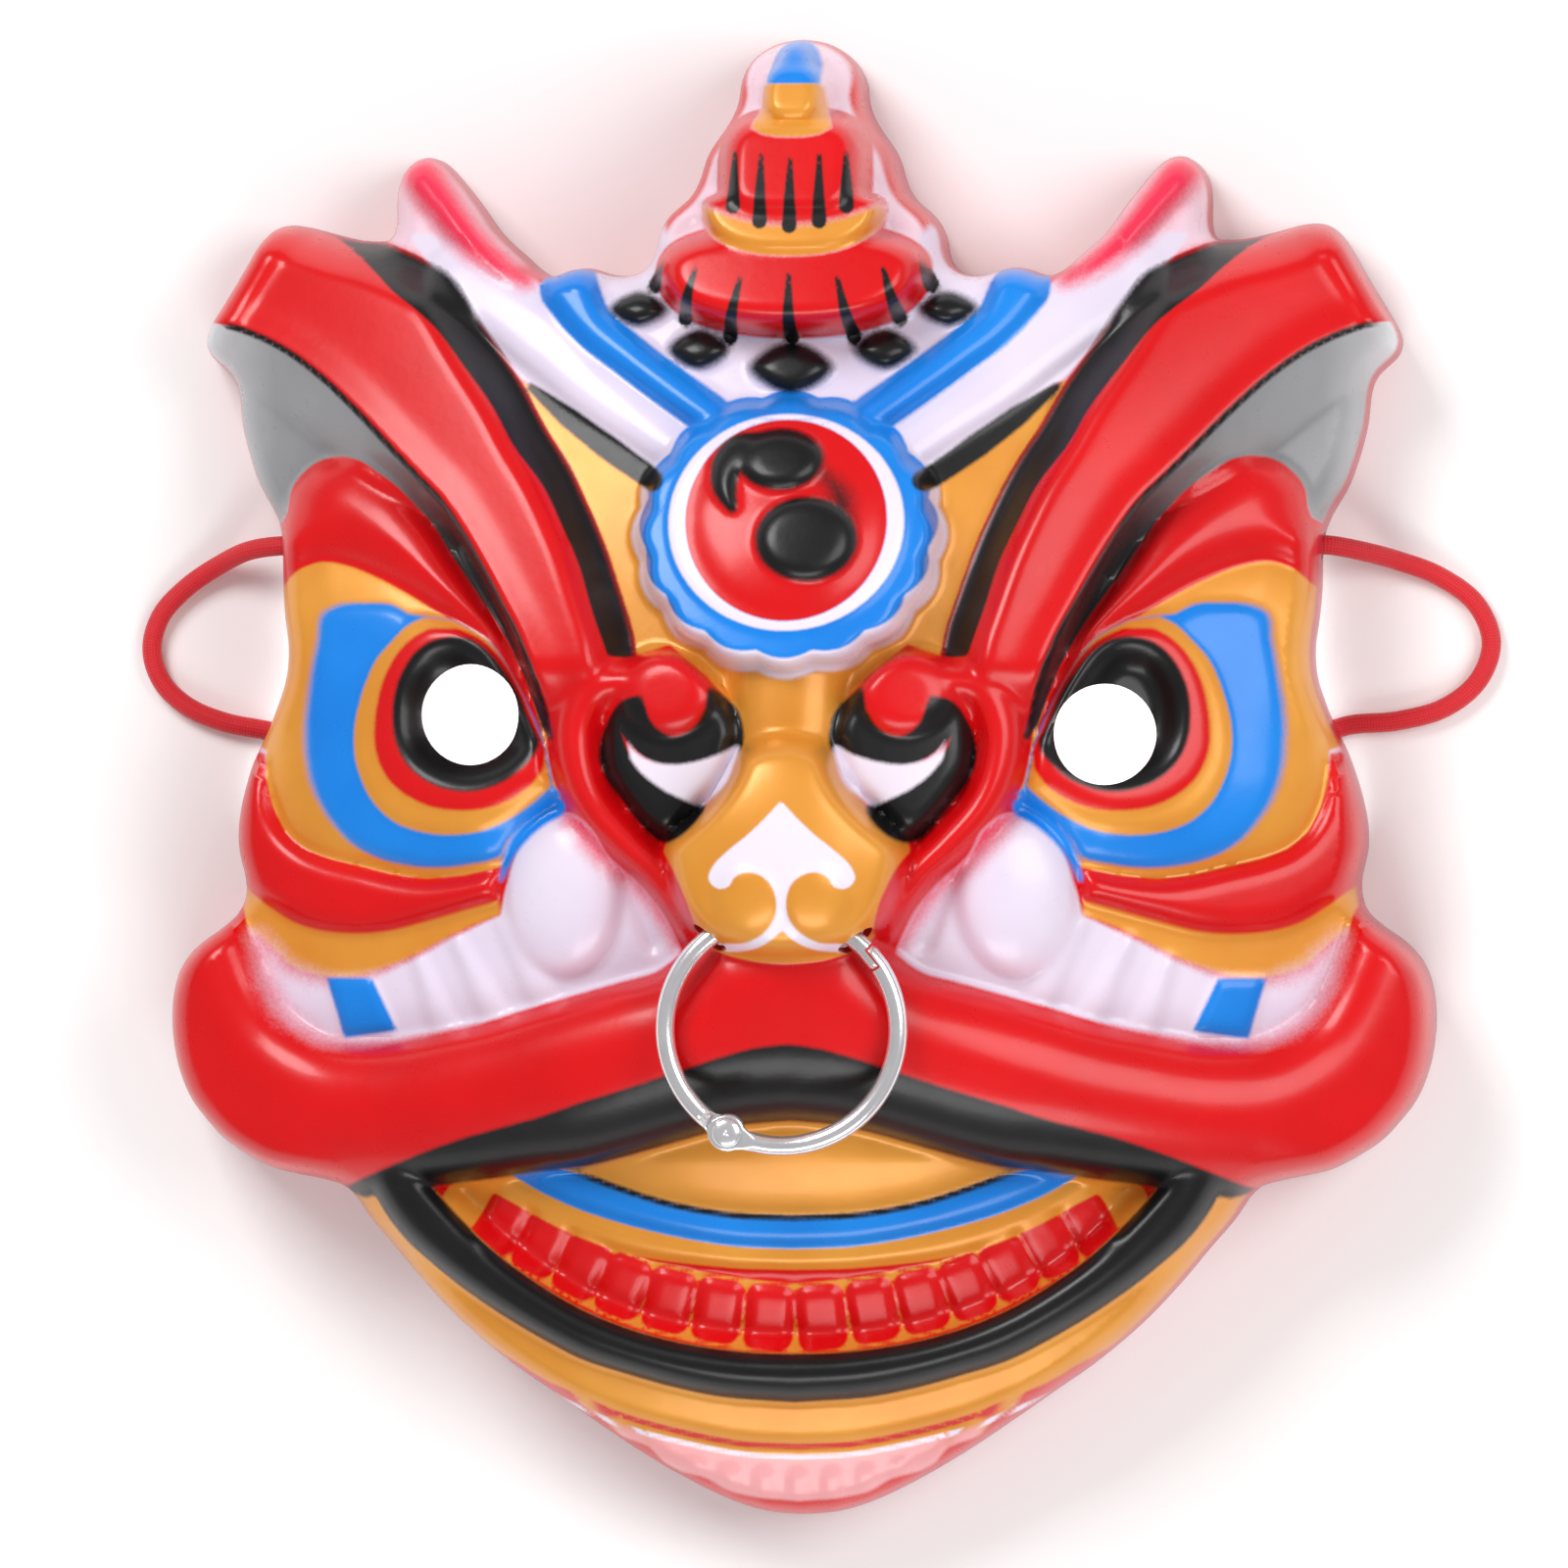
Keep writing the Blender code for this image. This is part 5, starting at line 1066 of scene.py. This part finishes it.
EMBLEM = [(0, -3.6), (2.1, -5.9), (4.9, -8.6), (8, -11.1), (10.4, -13.5), (11, -15.4),
          (9.6, -16.8), (7.8, -16.4), (7.2, -15.3), (5.8, -14.4), (3.5, -14.6), (1.7, -15.9),
          (0.8, -18.3), (1, -21), (2.6, -23.3), (5.4, -24.9), (9.4, -25.3), (9.2, -26.1), (4.9, -26),
          (2.1, -24.8), (0, -23)]
KNOB_LINE = [(43.9, -15.5), (41.9, -10.6), (38.2, -6.4), (35.4, -4.6)]
NECK = [(0, 106), (4.4, 106), (5.2, 101), (6.2, 98.2), (4.4, 97.2), (2.2, 96.8), (0, 96.7)]
SWIRL_WAKE = [(8.4, 38.4), (8.2, 42.2), (5.6, 45.6)]
HORN_STROKES = [
    ((8.4, 94.4), (8.6, 86.2)), ((4.4, 94), (4.5, 83.9)), ((0, 93.4), (0, 83.2)),
    ((7.3, 75.4), (9.4, 66.6)), ((14.2, 76.8), (16.3, 69.4)), ((19.4, 79.6), (21, 74.6)),
    ((0, 75.9), (0, 66.6)),
]
FRINGE = [(0, -111.5), (6.8, -110.9), (11.3, -109.8), (14.6, -107.9), (18.8, -106.8),
          (21.5, -105.3), (23.3, -103.1), (28.1, -101.3), (30.5, -98.6), (33.8, -96.6), (36.8, -94.1)]

# %% How far each point is inside each colour
places = np.empty(len(mask.data.vertices) * 3)
mask.data.vertices.foreach_get("co", places)
places = places.reshape(-1, 3)
px, py = places[:, 0] / UNIT_X, places[:, 1] / UNIT_Y
side = np.abs(px)
MM = 1000
from_rim = inside_rim(places[:, 0], places[:, 1]) * MM
# Half the width of a crisp edge and of a misty one, in millimetres
CRISP, MIST = 0.28, 2.6
# No edge is wider than this, so depths are worked out only this far outside a shape
REACH = 8


def edge(depth, width):
    """A colour's strength near its edge: 0.5 on it, and 0 to 1 over twice the width."""
    return 0.5 + depth / (2 * width)


def polygon(points):
    """Depth inside a half outline. Its ends on the middle line move past it, or a seam would show."""
    corners = np.array(points, float)
    corners[corners[:, 0] < 0.01, 0] = -6
    return depth_in(side, py, corners, REACH)


def area(*runs):
    return polygon(joined(runs, 0.8))


def stroke(points, halves):
    return depth_in_stroke(side, py, points, halves, REACH, 0.8)


def union(*strengths):
    """Sprayed where any of them is."""
    return np.maximum.reduce(strengths)


def overlap(*strengths):
    """Sprayed only where all of them are."""
    return np.minimum.reduce(strengths)


brow = area(BROW_TOP, BROW_EDGE[::-1])
brow_ink = area(BROW_TOP, BROW_INK[::-1])
eyelid = area(*EYELID)
socket = polygon(EYE_GROUND)
eye_blue, eye_gold, eye_red, dish = (area(*shape) for shape in (EYE_BLUE, EYE_GOLD, EYE_RED, EYE_DISH))
band = area(*EYE_BAND)
under_eye = area(UNDER_EYE_TOP, UNDER_EYE_FOOT)
nose = area(*NOSE, [(0, -28.2), (0, 6.4)])
curl = area(*CURL)
collar = stroke(COLLAR, COLLAR_HALF)
palate, blue_arc, gold_arc, gum, chin = arcs(side, py)
beard, fringe = (above_arc(side, py, line, BEARD_TOP) for line in (BEARD_ARC, FRINGE))
tooth = teeth(side, py)
tooth_row = stroke(TOOTH_ROW, [5.4, 5.4, 5.3, 5.1, 4.9, 4.7, 4.4, 3.8])
boss = depth_in_oval(px, py, *MEDAL_BOSS)
tiers = (HORN_FOOT, HORN_DRUM, HORN_CAP, HORN_TIP)
foot, drum, cap, tip = (depth_in_tier(side, py, tier) for tier in tiers)
cheek = area(*CHEEK)
lip = depth_in(px, py, mirrored(joined(LIP)), REACH)
lip_ink = area(LIP_INK, [(66, -64), (62, -63)], LIP[1], [(0, -53)])
print("stencils cut for", len(px), "points")

# %% Ground colours
spray = {}
spray["pale"] = union(
    overlap(
        edge(from_rim - np.interp(py, [104, 109], [2.1, 0.8]), 0.5),
        edge(overlap(23 - side, py - 70), 2),
    ),
    overlap(edge(3.4 - from_rim, 1.6), edge(overlap(side - 68, 42 - py, py + 12), 2)),
    overlap(edge(4.4 - from_rim, MIST), edge(overlap(side - 80, -22 - py, py + 58), 3)),
    overlap(edge(2.6 - from_rim, 1.5), edge(-62 - py, 2)),
    edge(depth_in_oval(side, py, (80, 35), (4.2, 9)), 2),
    overlap(edge(3 - from_rim, MIST), edge(overlap(side - 80, py - 68), 2)),
    edge(polygon(EAR), 1.2),
)
spray["gold"] = union(
    edge(socket, CRISP), edge(under_eye, 0.5), edge(polygon(FOREHEAD), CRISP), edge(nose, CRISP),
    overlap(edge(polygon(MOUTH + BEARD_ARC[::-1]), CRISP), edge(-lip, CRISP)),
    overlap(edge(-beard, CRISP), edge(beard + 3.6, 1.2), edge(-94 - py, 4)),
)
pleats = np.cos(math.pi * px / PLEAT) ** 2
spray["pink"] = overlap(edge(-1.6 - beard, 0.8), edge(-86 - py, 3), edge(fringe - 0.9 + 0.9 * pleats, 0.4))
spray["pink"] = spray["pink"] - 0.5 * pleats * np.clip((-102 - py) / 5, 0, 1)
spray["red"] = union(
    edge(eyelid, CRISP), edge(band, 0.4), edge(brow, CRISP), edge(collar, CRISP), edge(curl, CRISP),
    overlap(edge(gum, CRISP), edge(-gold_arc, CRISP)), overlap(edge(lip, CRISP), edge(-nose, CRISP)),
    overlap(edge(0.45 - np.abs(beard), 0.25), edge(-66 - py, 2)),
    overlap(edge(0.9 - fringe, 0.4), edge(-86 - py, 3)),
)
print("ground colours:", ", ".join(spray))

# %% White, blue, gold and red over them
spray["white"] = union(
    edge(polygon(STUD_GROUND), 0.8), edge(polygon(SASH_WHITE), 0.5),
    edge(scalloped(side, py, *MEDAL_FOOT), 0.5),
    edge(cheek, np.interp(side, [44, 60, 80], [0.4, 1.0, 3.4])),
)
spray["flush"] = union(
    edge(stroke(EAR_FLUSH, [3.6, 3, 2.6, 2.2, 1.4]), 2.0), overlap(edge(collar + 1.2, 2.4), edge(cheek, 0.5)),
)
spray["blue"] = union(
    edge(eye_blue, np.interp(side, [66, 80], [0.45, 1.4])),
    edge(stroke(KNOB_LINE, [0.4, 1.0, 1.4, 1.6]), 0.5),
    edge(stroke(RIB, RIB_HALF) + 0.3, 0.4), edge(scalloped(side, py, *MEDAL), CRISP),
    edge(polygon(sum(BLUE_TAB, [])), 0.4), overlap(edge(blue_arc, CRISP), edge(-palate, CRISP)),
    overlap(edge(tip + 0.3, 0.4), edge(py - 104.9, CRISP)),
)
horn_gold = union(
    overlap(edge(polygon(NECK), 0.4), edge(105 - py, CRISP)),
    overlap(edge(drum + 0.2, 0.4), edge(83.4 + 0.018 * side ** 2 - py, 0.9)),
)
spray["gilt"] = union(
    edge(eye_gold, 0.4), horn_gold,
    overlap(edge(tooth_row, CRISP), edge(-0.3 - tooth, CRISP), edge(gum, CRISP), edge(54 - side, 0.6)),
)
spray["scarlet"] = union(
    edge(eye_red, 0.4), edge(boss + 0.15, CRISP),
    overlap(edge(union(foot, drum, cap) + 0.4, 0.3), 1 - horn_gold),
)

# %% Black, and the fine lines over it
strokes = [stroke(ends, [0.35, 1.15]) for ends in HORN_STROKES]
studs = [depth_in_stud(side, py, *stud) for stud in STUDS]
swirl = [depth_in_oval(px, py, *head) for head in SWIRL_HEADS]
swirl.append(depth_in_stroke(px, py, SWIRL_TAIL, SWIRL_TAIL_HALF, REACH))
spray["black"] = union(
    overlap(
        edge(brow_ink, CRISP), edge(-union(collar, curl), CRISP),
        edge(gap_to_line(side, py, BROW_TOP) - 0.2, 0.9),
    ),
    overlap(edge(0.5 - gap_to_line(side, py, BROW_EDGE), 0.3), edge(88 - side, 1)),
    edge(dish, 0.45), edge(stroke(GROOVE, [0.6, 1.6, 1.9, 1.7]), 0.4), edge(union(*studs), 0.7),
    edge(union(*swirl), 0.5),
    0.8 * edge(depth_in_stroke(px, py, SWIRL_WAKE, [2.2, 1.8, 0.8], REACH), 1.8),
    edge(area(CURL_INK) + 0.4, 0.4), edge(area(CURL_INK_SIDE) + 0.4, 0.4),
    edge(lip_ink + 0.2, 0.45), overlap(edge(0.5 - np.abs(palate + 0.1), 0.35), edge(33 - side, 3)),
    overlap(edge(chin, CRISP), edge(-gum, CRISP), edge(0.3 - lip, CRISP)), edge(union(*strokes), 0.25),
)
spray["temple"] = overlap(
    edge(area(BROW_EDGE, EYELID[0][::-1], [(95, 38), (99, 60)]), CRISP), edge(-eyelid, CRISP),
)
spray["tone"] = np.interp(
    side, [44, 52, 58, 66, 80, 86, 91], [0.015, 0.03, 0.12, 0.24, 0.27, 0.42, 0.66],
)
spray["snow"] = union(
    overlap(edge(0.4 - np.abs(beard + 1.6), 0.25), edge(40 - side, 4), edge(-66 - py, 2)),
    overlap(edge(depth_in_oval(px, py, *MEDAL_RING) - 0.2, CRISP), edge(-0.15 - boss, CRISP)),
    edge(depth_in(px, py, mirrored(smooth_run(EMBLEM, 0.5)), REACH), CRISP), edge(area(CURL_WHITE), 0.45),
)
spray["rim"] = edge(0.55 - from_rim, 0.3)
ceiling = outer_skin(places[:, 0], places[:, 1], from_rim / MM)
spray["bare"] = edge((ceiling - places[:, 2]) * MM - 0.55 * WALL * MM, 0.25)
for name, strength in spray.items():
    layer = mask.data.attributes.new(name, "FLOAT", "POINT")
    layer.data.foreach_set("value", np.ascontiguousarray(strength, dtype=np.float32))
print("sprayed:", ", ".join(spray))


# %% [markdown]
# ## Materials
# A node graph written out node by node is long to read. With a small class that turns +, -, * and
# so on into Math nodes, a material reads like the sum it is.

# %% A small language for node graphs
class Number:
    """A number that varies over a surface: a socket that can be added, multiplied and so on."""

    def __init__(self, board, socket):
        self.board, self.socket = board, socket

    def sum(self, kind, *others, clamp=False):
        return self.board.node("ShaderNodeMath", {"operation": kind, "use_clamp": clamp}, self, *others)[0]

    def __add__(self, other):
        return self.sum("ADD", other)

    def __sub__(self, other):
        return self.sum("SUBTRACT", other)

    def __mul__(self, other):
        return self.sum("MULTIPLY", other)

    def __rsub__(self, other):
        return self * -1 + other

    __radd__ = __add__
    __rmul__ = __mul__

    def clamped(self):
        return self.sum("ADD", 0.0, clamp=True)

    def smooth(self):
        """A soft step from 0 to 1."""
        kind = {"interpolation_type": "SMOOTHSTEP"}
        return self.board.node("ShaderNodeMapRange", kind, self, 0.0, 1.0, 0.0, 1.0)[0]


class Board:
    """One material, and the nodes on it."""

    def __init__(self, name):
        self.material = bpy.data.materials.new(name)
        self.material.use_nodes = True
        self.tree = self.material.node_tree
        self.shader = self.tree.nodes["Principled BSDF"]

    def node(self, kind, settings, *values, **named):
        made = self.tree.nodes.new(kind)
        for key, value in settings.items():
            setattr(made, key, value)
        slots = [s for s in made.inputs if s.enabled]
        for slot, value in list(zip(slots, values)) + [(made.inputs[k], v) for k, v in named.items()]:
            self.join(slot, value)
        return [Number(self, s) for s in made.outputs if s.enabled]

    def join(self, slot, value):
        if isinstance(value, Number):
            self.tree.links.new(value.socket, slot)
        elif slot.type == "RGBA" and len(value) == 3:
            slot.default_value = (*value, 1.0)
        else:
            slot.default_value = value

    def stored(self, name):
        return self.node("ShaderNodeAttribute", {"attribute_name": name})[2]

    def noise(self, scale, detail=2.0, rough=0.5):
        """Even noise about 0, from -0.5 to 0.5."""
        place = self.node("ShaderNodeTexCoord", {})[3]
        made = self.node("ShaderNodeTexNoise", {}, Vector=place, Scale=scale, Detail=detail, Roughness=rough)
        return made[0] - 0.5

    def mix(self, share, a, b):
        return self.node("ShaderNodeMix", {"data_type": "RGBA"}, share, a, b)[0]

    def bump(self, height, strength, distance):
        made = self.node("ShaderNodeBump", {}, Strength=strength, Distance=distance, Height=height)
        return made[0]

    def finish(self, **inputs):
        for name, value in inputs.items():
            self.join(self.shader.inputs[name.replace("_", " ").title().replace("Ior", "IOR")], value)
        return self.material


def rgb(red, green, blue):
    """A screen colour, 0 to 255, as the renderer counts light."""
    shares = (c / 255 for c in (red, green, blue))
    return tuple(((s + 0.055) / 1.055) ** 2.4 if s > 10 / 255 else s / 12.92 for s in shares)


# %% [markdown]
# ## The painted plastic
# The mask is red plastic with a thin layer of paint, so one material holds all the colours. Each
# stored strength gets a little noise before its soft step, which breaks the stencil's edge into
# fine mist. The gold is slightly metallic, the inside is bare, and a faint bump gives the gloss
# the uneven skin that sprayed paint has.

# %% Paints and their layers
SNOW = rgb(234, 224, 240)
FLUSH = rgb(232, 50, 82)
CRIMSON = rgb(190, 10, 44)
BARE = rgb(186, 18, 26)

board = Board("painted plastic")
mist = board.noise(1900, 3, 0.6) * 0.34 + board.noise(320, 2) * 0.16
cloud = board.noise(46, 3, 0.55)


def sprayed(name):
    """How much of a colour shows: its stored strength with the mist in its edge."""
    return (board.stored(name) + mist).smooth()


def tinted(colour, dark, amount=1.0):
    """A paint that is a little thinner in some places than in others."""
    return board.mix((cloud * amount + 0.5).clamped(), dark, colour)


red_paint = tinted(rgb(222, 8, 16), rgb(202, 4, 10), 1.6)
gold_paint = tinted(rgb(234, 162, 64), rgb(216, 136, 42), 1.6)
colour = red_paint
layers = [
    ("pale", tinted(rgb(242, 214, 226), rgb(232, 190, 206))), ("gold", gold_paint),
    ("pink", tinted(rgb(240, 176, 180), rgb(236, 150, 150), 1.5)),
    ("red", red_paint), ("white", tinted(SNOW, rgb(218, 204, 226), 1.3)), ("flush", FLUSH),
    ("blue", tinted(rgb(26, 140, 234), rgb(10, 116, 212), 1.4)), ("gilt", gold_paint),
    ("scarlet", red_paint), ("temple", None),
    ("black", tinted(rgb(22, 22, 24), rgb(10, 10, 11), 1.5)), ("snow", SNOW), ("rim", CRIMSON),
]
shares = {}
for name, paint in layers:
    shares[name] = sprayed(name)
    if name == "temple":
        tone = (board.stored("tone") * (cloud * 0.5 + 1)).clamped()
        paint = board.node("ShaderNodeCombineColor", {}, tone, tone, tone * 1.04)[0]
    colour = board.mix(shares[name], colour, paint)
bare = board.stored("bare").smooth()
colour = board.mix(bare, colour, tinted(BARE, rgb(160, 12, 20)))
gilded = shares["gold"]
for name, _ in layers[2:]:
    gilded = (gilded + shares[name]).clamped() if name == "gilt" else gilded * (1 - shares[name])
gilded = gilded * (1 - bare)

# %% The plastic's gloss
scuffs = board.noise(240, 4, 0.7)
orange_peel = board.noise(900, 2) * 0.5 + board.noise(150, 2)
rough = 0.29 + gilded * 0.06 + scuffs * 0.12 + shares["black"] * 0.04 + bare * 0.1 + mist * 0.05
plastic = board.finish(
    base_color=colour, roughness=rough.clamped(), metallic=gilded * 0.16,
    normal=board.bump(orange_peel, 0.06, 0.0006), specular_ior_level=0.34, coat_roughness=0.15,
    coat_weight=(0.16 - bare * 0.08 - shares["black"] * 0.08).clamped(),
)
mask.data.materials.clear()
mask.data.materials.append(plastic)
print("plastic:", len(board.tree.nodes), "nodes")


# %% [markdown]
# ## The nose ring
# A ring could be a torus, but this one opens: two halves of bent wire, joined by a rivet through
# two flat eyes and lapped where they snap together. Each half is drawn as a row of sections along
# its arc, so that a section can flatten into the eye or lose one side at the lap.

# %% Two halves of wire and a rivet
def rivet_place():
    middle, across, up, _ = ring_frame()
    angle = math.radians(RIVET_ANGLE_DEG)
    return middle + (RING_OUTSIDE - RING_WIRE) / 2 * (math.cos(angle) * across + math.sin(angle) * up)


def skin_rings(mesh, rings):
    """Faces between rows of points, with both ends closed."""
    for a, b in zip(rings, rings[1:]):
        for k in range(len(a)):
            n = (k + 1) % len(a)
            mesh.faces.new([a[k], a[n], b[n], b[k]])
    mesh.faces.new(rings[0][::-1])
    mesh.faces.new(rings[-1])
    bmesh.ops.recalc_face_normals(mesh, faces=mesh.faces)


def ring_half(name, body, node, turn, level, lap_side):
    """Half of the ring, from its flat eye at the rivet to its lapped end at the snap."""
    middle, across, up, square = ring_frame()
    radius = (RING_OUTSIDE - RING_WIRE) / 2
    wire = RING_WIRE / 2
    eye = KNUCKLE / 2
    gap = RING_CLEARANCE / 2
    sweep = (SNAP_ANGLE_DEG - RIVET_ANGLE_DEG) % 360 if turn > 0 else (RIVET_ANGLE_DEG - SNAP_ANGLE_DEG) % 360
    length = math.radians(sweep) * radius
    tip, shoulder = length + SNAP_LAP / 2 - gap, length - SNAP_LAP / 2 - gap
    flat_end = eye + 2 * gap
    round_start = flat_end + wire
    eye_stops = [-eye * math.cos(math.radians(a)) for a in range(6, 180, 6)]
    stops = [s for s in eye_stops if s < eye * 0.8] + list(np.linspace(flat_end, round_start, 5))
    stops += list(np.linspace(round_start, shoulder, 90))[1:]
    stops += [shoulder + gap / 4, tip - wire / 2, tip - wire / 6, tip]
    mesh = bmesh.new()
    rings = []
    for s in stops:
        blend = min(1.0, max(0.0, (s - flat_end) / (round_start - flat_end)))
        half_wide = math.sqrt(max(eye ** 2 - s ** 2, 0))
        if s > 0:
            half_wide = max(half_wide, wire)
        low = gap + (-wire - gap) * blend
        half_thick, lift = (wire - low) / 2, level * (wire + low) / 2
        if s > tip - wire / 4:
            shrink = 0.93 if s < tip else 0.72
            half_wide, half_thick = shrink * half_wide, shrink * half_thick
        square_off = 0.45 + 0.55 * blend
        angle = math.radians(RIVET_ANGLE_DEG) + turn * s / radius
        outward = math.cos(angle) * across + math.sin(angle) * up
        ring = []
        for k in range(WIRE_SIDES):
            around = 2 * math.pi * (k + 0.5) / WIRE_SIDES
            c, d = math.cos(around), math.sin(around)
            wide = half_wide * math.copysign(abs(c) ** square_off, c)
            thick = half_thick * math.copysign(abs(d) ** square_off, d) + lift
            if s > shoulder:
                wide = lap_side * max(gap, lap_side * wide)
            ring.append(mesh.verts.new(middle + (radius + wide) * outward + thick * square))
        rings.append(ring)
    skin_rings(mesh, rings)
    half = add(name, mesh, body, "steel", node)
    half.data.set_sharp_from_angle(angle=math.radians(42))
    return half


def make_rivet():
    """A headed pin, turned about the line square to the ring, with a dimple in its head."""
    _, across, up, square = ring_frame()
    seat = RING_WIRE / 2 + RING_CLEARANCE / 2
    head = RIVET_HEAD / 2
    profile = [(RIVET_SHANK / 2, seat), (head, seat)]
    for share in range(1, 7):
        lean = math.radians(90 * share / 7)
        profile.append((head * math.cos(lean), seat + RIVET_HEAD_RISE * math.sin(lean)))
    top = seat + RIVET_HEAD_RISE
    profile += [(head * 0.2, top - 0.05 * head), (head * 0.08, top - 0.11 * head)]
    mesh = bmesh.new()
    rings = []
    for r, h in [(r, -h) for r, h in profile[::-1]] + profile:
        row = []
        for k in range(WIRE_SIDES):
            around = 2 * math.pi * k / WIRE_SIDES
            out = math.cos(around) * across + math.sin(around) * up
            row.append(mesh.verts.new(rivet_place() + r * out + h * square))
        rings.append(row)
    skin_rings(mesh, rings)
    made = add("rivet", mesh, "ring", "steel", "ring_rivet")
    made.data.set_sharp_from_angle(angle=math.radians(50))
    return made


captive = ring_half("ring_half_in_nose", "ring", "ring_half_captive", -1, -1, -1)
gate = ring_half("ring_half_opening", "gate", "ring_half_gate", 1, 1, 1)
rivet = make_rivet()
print("nose ring:", sum(len(p.data.vertices) for p in (captive, gate, rivet)), "points")

# %% Plated steel
board = Board("plated steel")
lines = board.noise(2600, 2, 0.5)
smudge = board.noise(210, 3, 0.6)
steel = board.finish(
    base_color=board.mix((smudge + 0.5).clamped(), rgb(232, 230, 234), rgb(252, 250, 252)), metallic=0.8,
    roughness=(0.2 + smudge * 0.12 + lines * 0.06).clamped(), coat_weight=0.5, coat_roughness=0.06,
    normal=board.bump(lines, 0.05, 0.0001),
)
for piece in (captive, gate, rivet):
    piece.data.materials.append(steel)
print("steel:", len(board.tree.nodes), "nodes")


# %% [markdown]
# ## The elastic
# The elastic is one cord. Its line is drawn through a few places and smoothed, so it is
# never tighter than a real one would lie. A curve with a round bevel would do for its shape, but a
# tube of its own keeps two numbers at every point, how far along and how far round it is. The
# braid on its surface is drawn from those.

# %% The cord's line and its tube
def knot_middle(side):
    inside = TEMPLE_HOLE[0] * UNIT_X - WALL - CORD_CLEARANCE - KNOT / 2
    return np.array([side * inside, TEMPLE_HOLE[1] * UNIT_Y, TEMPLE_HOLE_RISE])


def evenly(line, step):
    """A line sampled again at even steps, and its length."""
    along = np.concatenate([[0], np.cumsum(np.linalg.norm(np.diff(line, axis=0), axis=1))])
    at = np.linspace(0, along[-1], round(along[-1] / step) + 1)
    return np.stack([np.interp(at, along, line[:, k]) for k in range(3)], 1), along[-1]


def elastic_line():
    """The elastic's middle line, from the knot in one temple to the knot in the other."""
    rest = CORD / 2
    inner = KNOT / 2 + CORD_CLEARANCE
    route = [knot_middle(-1) - (inner, 0, 0)]
    for x, y, share in ELASTIC_LEFT + ELASTIC_RIGHT:
        route.append(np.array([x * UNIT_X, y * UNIT_Y, rest + share * (TEMPLE_HOLE_RISE - rest)]))
    route.append(knot_middle(1) + (inner, 0, 0))
    return smooth_run(route, CORD / 6)


def tube(name, line, radius, sides, body, material_slot, *nodes):
    """A round tube along a line, with its own length and turn stored at each point."""
    run = np.gradient(line, axis=0)
    run /= np.linalg.norm(run, axis=1)[:, None]
    out = np.cross(run[0], (0, 0, 1))
    mesh = bmesh.new()
    rings, along, travelled = [], [], 0.0
    for i, place in enumerate(line):
        out = out - run[i] * out.dot(run[i])
        out /= np.linalg.norm(out)
        over = np.cross(run[i], out)
        if i:
            travelled += float(np.linalg.norm(place - line[i - 1]))
        thin = radius[i] if hasattr(radius, "__len__") else radius
        turns = 2 * np.pi * np.arange(sides) / sides
        rings.append([mesh.verts.new(place + thin * (math.cos(t) * out + math.sin(t) * over)) for t in turns])
        along += [travelled] * sides
    skin_rings(mesh, rings)
    made = add(name, mesh, body, material_slot, *nodes)
    made.data.set_sharp_from_angle(angle=math.radians(60))
    for key, values in (("along", along), ("turn", list(np.arange(sides) / sides) * len(line))):
        layer = made.data.attributes.new(key, "FLOAT", "POINT")
        layer.data.foreach_set("value", values)
    return made


LINE_STEP = 0.0007
line, length = evenly(elastic_line(), LINE_STEP)
print("elastic", round(length, 4), "m")
elastic = tube("elastic", line, CORD / 2, CORD_SIDES, "mask", "red_elastic", "elastic_cord")

# %% The two knots
# The knot's curve runs from minus to plus this end. Half of it is this long in its own units.
KNOT_END = 2.13
KNOT_CURVE_HALF = 3.55
KNOT_POINTS = 110


def make_knot(name, side, node):
    """An overhand knot pulled tight, and the short end of cord left beyond it."""
    t = np.linspace(-KNOT_END, KNOT_END, KNOT_POINTS)
    loops = np.stack([t ** 5 / 5 - 2 * t, t ** 3 - 3 * t, t ** 4 - 4 * t ** 2 + 2], 1)
    scale = KNOT / 2 / KNOT_CURVE_HALF
    places = loops * (scale, scale * 0.88, scale * 0.72) * (side, 1, 1)
    places[:, 1:] *= np.clip(1.2 - np.abs(places[:, :1]) / KNOT * 1.4, 0, 1)
    radius = CORD / 2 * np.interp(np.abs(t), [0, 1.6, KNOT_END], [0.8, 0.8, 0.96])
    return tube(name, places + knot_middle(side), radius, KNOT_SIDES, "mask", "red_elastic", node)


knots = [make_knot("knot_left", -1, "elastic_knot_left"), make_knot("knot_right", 1, "elastic_knot_right")]
tuple(line[0])
[tuple(p) for p in line]

# %% Red braid
BRAID_A_MM = 1.15
BRAID_STRANDS = 10
board = Board("red elastic")
along, turn = board.stored("along") * MM * BRAID_A_MM, board.stored("turn") * BRAID_STRANDS
braid = ((along + turn) * (2 * math.pi)).sum("SINE") * ((along - turn) * (2 * math.pi)).sum("SINE")
fuzz = board.noise(2400, 3, 0.6)
dirt = board.noise(120, 3)
# The braid's height drives the bump, and the same height darkens the colour in the valleys between the
# strands: painted shade.
braid_relief_and_shade = (braid * 0.5 + 0.5 + fuzz * 0.5).clamped()
cloth = board.finish(
    base_color=board.mix((braid_relief_and_shade * 0.8 + dirt * 0.4).clamped(), rgb(186, 4, 22), rgb(236, 14, 36)),
    roughness=(0.62 + fuzz * 0.2).clamped(), normal=board.bump(braid_relief_and_shade, 0.45, 0.00018), sheen_weight=0.25,
)
for piece in [elastic] + knots:
    piece.data.materials.append(cloth)
print("elastic:", len(board.tree.nodes), "nodes")
